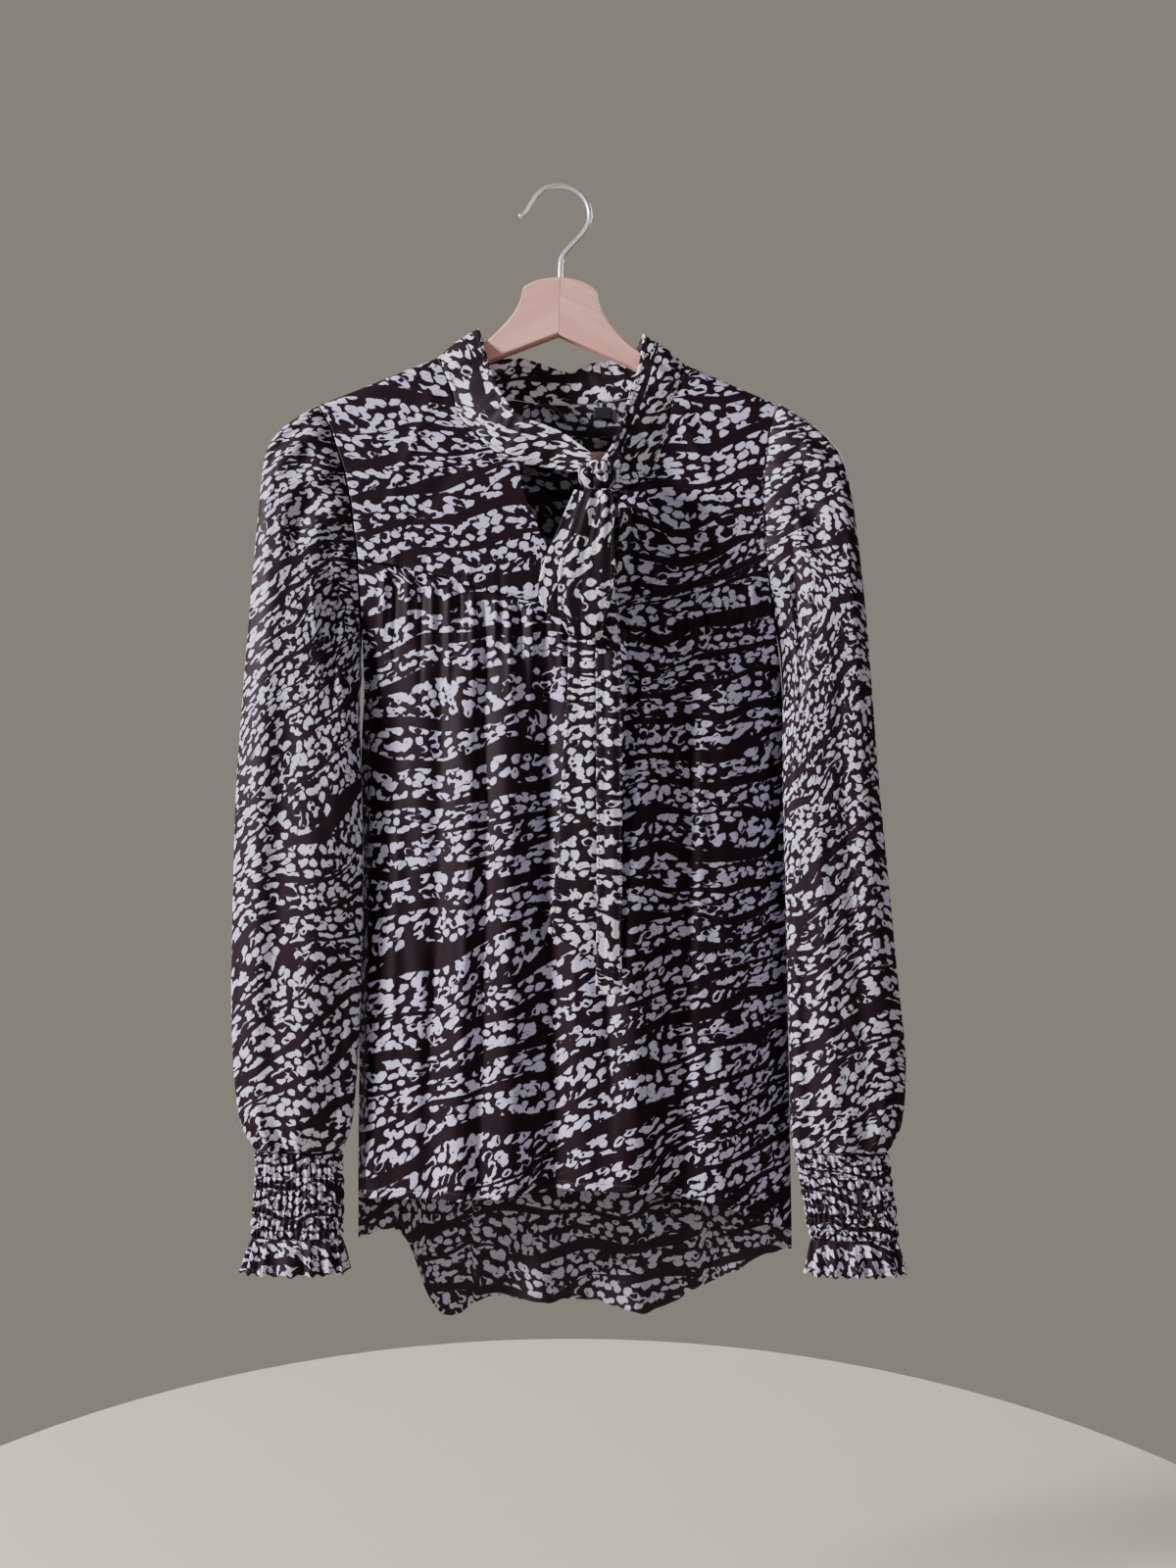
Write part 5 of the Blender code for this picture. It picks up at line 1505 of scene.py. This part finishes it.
@dataclass
class Hanger:
    """The wooden hanger: two mitred arms, a trouser bar and the wire hook.

    Args:
        woods: wood for the left arm, the right arm and the bar.
        chrome: the hook's finish.
        arm: from the mitre out: distance, top z, bottom z.
        hook: centre line from the shank up and round to the tip as x, z.
    """

    woods: tuple[Material, Material, Material]
    chrome: Material
    thickness: float = 11.0
    tilt: float = math.radians(1.5)
    centre: Pair = (1.2, -67.0)
    bar_z: float = -199.5
    bar_radius: float = 5.0
    bar_half: float = 184.0
    wire: float = 1.8
    round_edge: float = 2.2
    arm: Rows = (
        (0.15, -67, -109.6), (8, -67.8, -112.8), (16, -69.6, -116), (23, -72.6, -118.9),
        (27, -76, -120.6), (29, -85, -121.4), (34, -95, -123.5), (43, -106, -127.2),
        (55, -117, -132.2), (75, -129.5, -142.5), (100, -140.5, -154), (130, -152.5, -166),
        (155, -161.8, -175.5), (168, -167.4, -183), (177, -171.5, -193), (185, -176, -206),
        (192, -181.5, -209.5), (197, -188, -205), (199, -193, -199),
    )
    hook: Rows = (
        (1.2, -74.5), (1.2, -66), (1.8, -54), (4.4, -48.1), (11.1, -40.6), (18.6, -32.3),
        (22.8, -23.2), (21.9, -13.3), (16.9, -5.0), (8.4, 0.3), (0, 1.6), (-8.4, 0.3), (-15.5, -4.9),
        (-20.5, -12.3), (-24.6, -18.6), (-29.4, -21.7),
    )

    def tilted(self, points: Array) -> Array:
        """Turns points about y by the hanger's tilt, round the top of its head."""
        x, z = points[..., 0], points[..., 2] - self.centre[1]
        turned_x = x * math.cos(self.tilt) + z * math.sin(self.tilt)
        turned_z = z * math.cos(self.tilt) - x * math.sin(self.tilt)
        return np.stack([turned_x + self.centre[0], points[..., 1], turned_z + self.centre[1]], -1)

    def arm_rings(self, side: int) -> Array:
        """Sections along an arm: upright rectangles with quarter-round corners.

        A close point past both ends of each corner keeps the flat sides' shading flat.
        """
        rows = along(self.arm, 110)
        distance, top, bottom = rows[:, 0:1], rows[:, 1:2], rows[:, 2:3]
        half_z = (top - bottom) / 2
        cut = np.minimum(self.round_edge, half_z * 0.75)
        quarter = np.pi / 2 * np.array([0, 0, 0.2, 0.4, 0.6, 0.8, 1, 1])
        onto_flat = np.array([-0.6, 0, 0, 0, 0, 0, 0, 0.6])
        rings_y, rings_z = [], []
        for corner in range(4):
            turn = quarter + corner * np.pi / 2
            sign_y = 1 if corner in (0, 3) else -1
            sign_z = 1 if corner in (0, 1) else -1
            corner_y = cut * np.cos(turn) - onto_flat * np.sin(turn)
            corner_z = cut * np.sin(turn) + onto_flat * np.cos(turn)
            rings_y.append(sign_y * (self.thickness / 2 - cut) + corner_y)
            rings_z.append((top + bottom) / 2 + sign_z * (half_z - cut) + corner_z)
        y, z = np.concatenate(rings_y, 1), np.concatenate(rings_z, 1)
        return np.stack([side * distance + 0 * y, y, z], -1)

    def build_arm(self, hand: Hand, wood: Material) -> None:
        """One arm: its sections joined, flat at the mitre and rounded at its end."""
        rings = self.tilted(self.arm_rings(hand.value))
        surface = Surface(rings, wraps=True)
        columns = rings.shape[1]
        faces = surface.corners().tolist()
        total = rings.shape[0] * columns
        points = np.concatenate([rings.reshape(-1, 3), rings[:1].mean(1), rings[-1:].mean(1)])
        k = np.arange(columns)
        n = (k + 1) % columns
        first = np.stack([np.full(columns, total), k, n], -1).tolist()
        end = total - columns
        last = np.stack([np.full(columns, total + 1), end + n, end + k], -1).tolist()
        name = f"hanger_arm_{hand.name.lower()}"
        mesh = bpy.data.meshes.new(f"{name}_wood")
        mesh.from_pydata((points * MM).tolist(), [], faces + first + last)
        mesh.shade_smooth()
        mesh.materials.append(wood)
        obj = bpy.data.objects.new(f"{name}_wood", mesh)
        bpy.context.scene.collection.objects.link(obj)
        outward(obj)
        obj.data.set_sharp_from_angle(angle=math.radians(50))
        settle(obj, "hanger_wood", name)

    def build(self) -> None:
        """Makes the arms, the bar and the hook."""
        self.build_arm(Hand.LEFT, self.woods[0])
        self.build_arm(Hand.RIGHT, self.woods[1])
        run = np.linspace(-self.bar_half, self.bar_half, 120)
        closing = 1 - (np.abs(run) / (self.bar_half + 0.01)) ** 60
        radii = self.bar_radius * np.sqrt(np.clip(closing, 0.0004, 1))
        line = self.tilted(np.stack([run, 0 * run, np.full_like(run, self.bar_z)], -1))
        bar = tube("hanger_bar_wood", line[:, [0, 2]], radii, self.woods[2], 32)
        settle(bar, "hanger_wood", "hanger_bar")
        run = along(self.hook, 190)
        share = np.linspace(0, 1, 190)
        swell = 1 + 0.3 * hump(share, 0.985, 0.018)
        tip, root = (1 - share) / 0.012, share / 0.003
        radii = self.wire * swell * np.sqrt(np.clip(tip, 0.0004, 1) * np.clip(root, 0.0004, 1))
        settle(tube("hanger_hook_wire", run, radii, self.chrome, 28), "hook_chrome", "hanger_hook")


@dataclass
class Studio:
    """A plain pale floor, soft light and a camera at the photograph's viewing angle.

    Args:
        floor_z: height of the round floor in metres.
        floor_radius: its radius in metres.
        eye: the camera's place in metres.
        frame_height: what the frame takes in at the blouse, in metres.
        backdrop: colour of the floor and the world.
        world_strength: how strongly the world lights the blouse.
        backdrop_strength: how bright the world looks behind it.
        lamps: name, place, target, size in metres and power of each area lamp.
    """

    floor_z: float = -1.12
    floor_radius: float = 0.72
    eye: Point = (0.02175, -1.1, -0.4408)
    frame_height: float = 1.16
    backdrop: Colour = (0.62, 0.58, 0.485)
    world_strength: float = 0.20
    backdrop_strength: float = 0.40
    lamps: tuple[tuple[str, Point, Point, float, float], ...] = (
        ("key", (-2.3, -0.85, 0.5), (0.0, 0.0, -0.42), 0.5, 150.0),
        ("fill", (1.3, -2.3, 0.1), (0.0, 0.0, -0.45), 1.2, 11.0),
        ("back", (1.2, 2.2, 0.9), (0.0, 0.0, -0.4), 0.9, 46.0),
    )

    def build(self) -> None:
        """Makes the floor, world, lamps and camera."""
        w = Weave("pale_floor")
        at = w.node("ShaderNodeTexCoord").outputs["Object"]
        grain = w.noise(at, 9.0, 2.0)
        w.set(Base_Color=w.mixed(grain, self.backdrop, times(self.backdrop, 1.03)), Roughness=0.85)
        turn = np.linspace(0, 2 * np.pi, 96, endpoint=False)
        rim = self.floor_radius * np.stack([np.cos(turn), np.sin(turn)], -1)
        rim = np.concatenate([rim, np.full((96, 1), self.floor_z)], 1) / MM
        floor = mesh_object("floor", rim, np.arange(96)[None], w.material)
        world = bpy.data.worlds.new("studio")
        world.use_nodes = True
        sky = world.node_tree.nodes["Background"]
        sky.inputs[0].default_value = (*self.backdrop, 1)
        rays = world.node_tree.nodes.new("ShaderNodeLightPath")
        strength = world.node_tree.nodes.new("ShaderNodeMath")
        strength.operation = "MULTIPLY_ADD"
        strength.inputs[1].default_value = self.backdrop_strength - self.world_strength
        strength.inputs[2].default_value = self.world_strength
        world.node_tree.links.new(rays.outputs["Is Camera Ray"], strength.inputs[0])
        world.node_tree.links.new(strength.outputs[0], sky.inputs[1])
        bpy.context.scene.world = world
        for name, place, target, size, power in self.lamps:
            light = bpy.data.lights.new(name, "AREA")
            light.shape = "DISK"
            light.size = size
            light.energy = power
            lamp = bpy.data.objects.new(name, light)
            lamp.location = place
            self.aim(lamp, target)
            bpy.context.scene.collection.objects.link(lamp)
        camera = bpy.data.objects.new("camera", bpy.data.cameras.new("camera"))
        camera.data.sensor_fit = "VERTICAL"
        camera.data.sensor_height = 24.0
        camera.data.lens = 24.0 * -self.eye[1] / self.frame_height
        camera.location = self.eye
        self.aim(camera, (self.eye[0], 0.0, self.eye[2]))
        bpy.context.scene.collection.objects.link(camera)
        bpy.context.scene.camera = camera

    def aim(self, obj: Piece, target: Point) -> None:
        """Turns a lamp or camera towards a point."""
        way = Vector(target) - obj.location
        obj.rotation_euler = way.to_track_quat("-Z", "Y").to_euler()


def crepes() -> dict[str, Material]:
    """The crepe of each node. The sleeves and tie are copies of the body's crepe with painted light,
    their ground and print lighter; the back's ground is painted greyer for light coming through the sheer
    cloth, and its print painted darker for shade.
    """
    body = PrintedCrepe("print_body").material()
    # painted light and shade: the back's ground is lighter for light through the sheer cloth, and its
    # print darker for shade
    back = PrintedCrepe("print_back_painted_light_and_shade", (0.016, 0.010, 0.014), (0.50, 0.475, 0.62)).material()
    # painted light: the sleeves' ground and print are lighter than the body's, for light through the
    # sheer cloth; the smaller marks and narrower stripes are print
    fine = PrintedCrepe("print_sleeve_painted_light", (0.012, 0.0055, 0.009), (0.68, 0.65, 0.84), (7.6, 5.4), 25.0, 1.9)
    sleeve = fine.material()
    # painted light: the tie's ground and print are lighter than the body's; its narrower stripes are
    # print
    tie = PrintedCrepe("print_tie_painted_light", (0.011, 0.006, 0.009), (0.82, 0.79, 0.94), plain=2.0).material()
    made = {node: body for node in ("front_yoke_left", "front_yoke_right", "front_body")}
    made["back_body"] = back
    for side in ("left", "right"):
        for node in (f"sleeve_{side}", f"cuff_{side}", f"cuff_frill_{side}"):
            made[node] = sleeve
    for node in ("knot", "loop_front", "loop_rear", "tail_short", "tail_long"):
        made[f"tie_{node}"] = tie
    made["neck_band"] = made["slit_band"] = tie
    return made


def main() -> None:
    """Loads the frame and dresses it."""
    logging.basicConfig(level=logging.INFO, format="%(name)s %(message)s")
    for obj in list(bpy.data.objects):
        bpy.data.objects.remove(obj)
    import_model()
    thread = Thread().material()
    ribbon = BlackRibbon().material()
    prints = crepes()
    seams = Seamwork(thread)
    slopes = {"wood_left": 27.0, "wood_right": -27.0, "wood_bar": 0.0}
    woods = tuple(HangerWood(name, slope).material() for name, slope in slopes.items())
    Hanger(woods, Chrome().material()).build()
    tie = NeckTie(prints, seams)
    panels = BodyPanels(prints, seams)
    gap = panels.band_gap
    panels.build(tie.neckline(Hand.LEFT, gap), tie.neckline(Hand.RIGHT, gap))
    Sleeves(prints, seams).build()
    tie.build()
    NeckTrim(ribbon, seams).build()
    Studio().build()


if __name__ == "__main__":
    main()
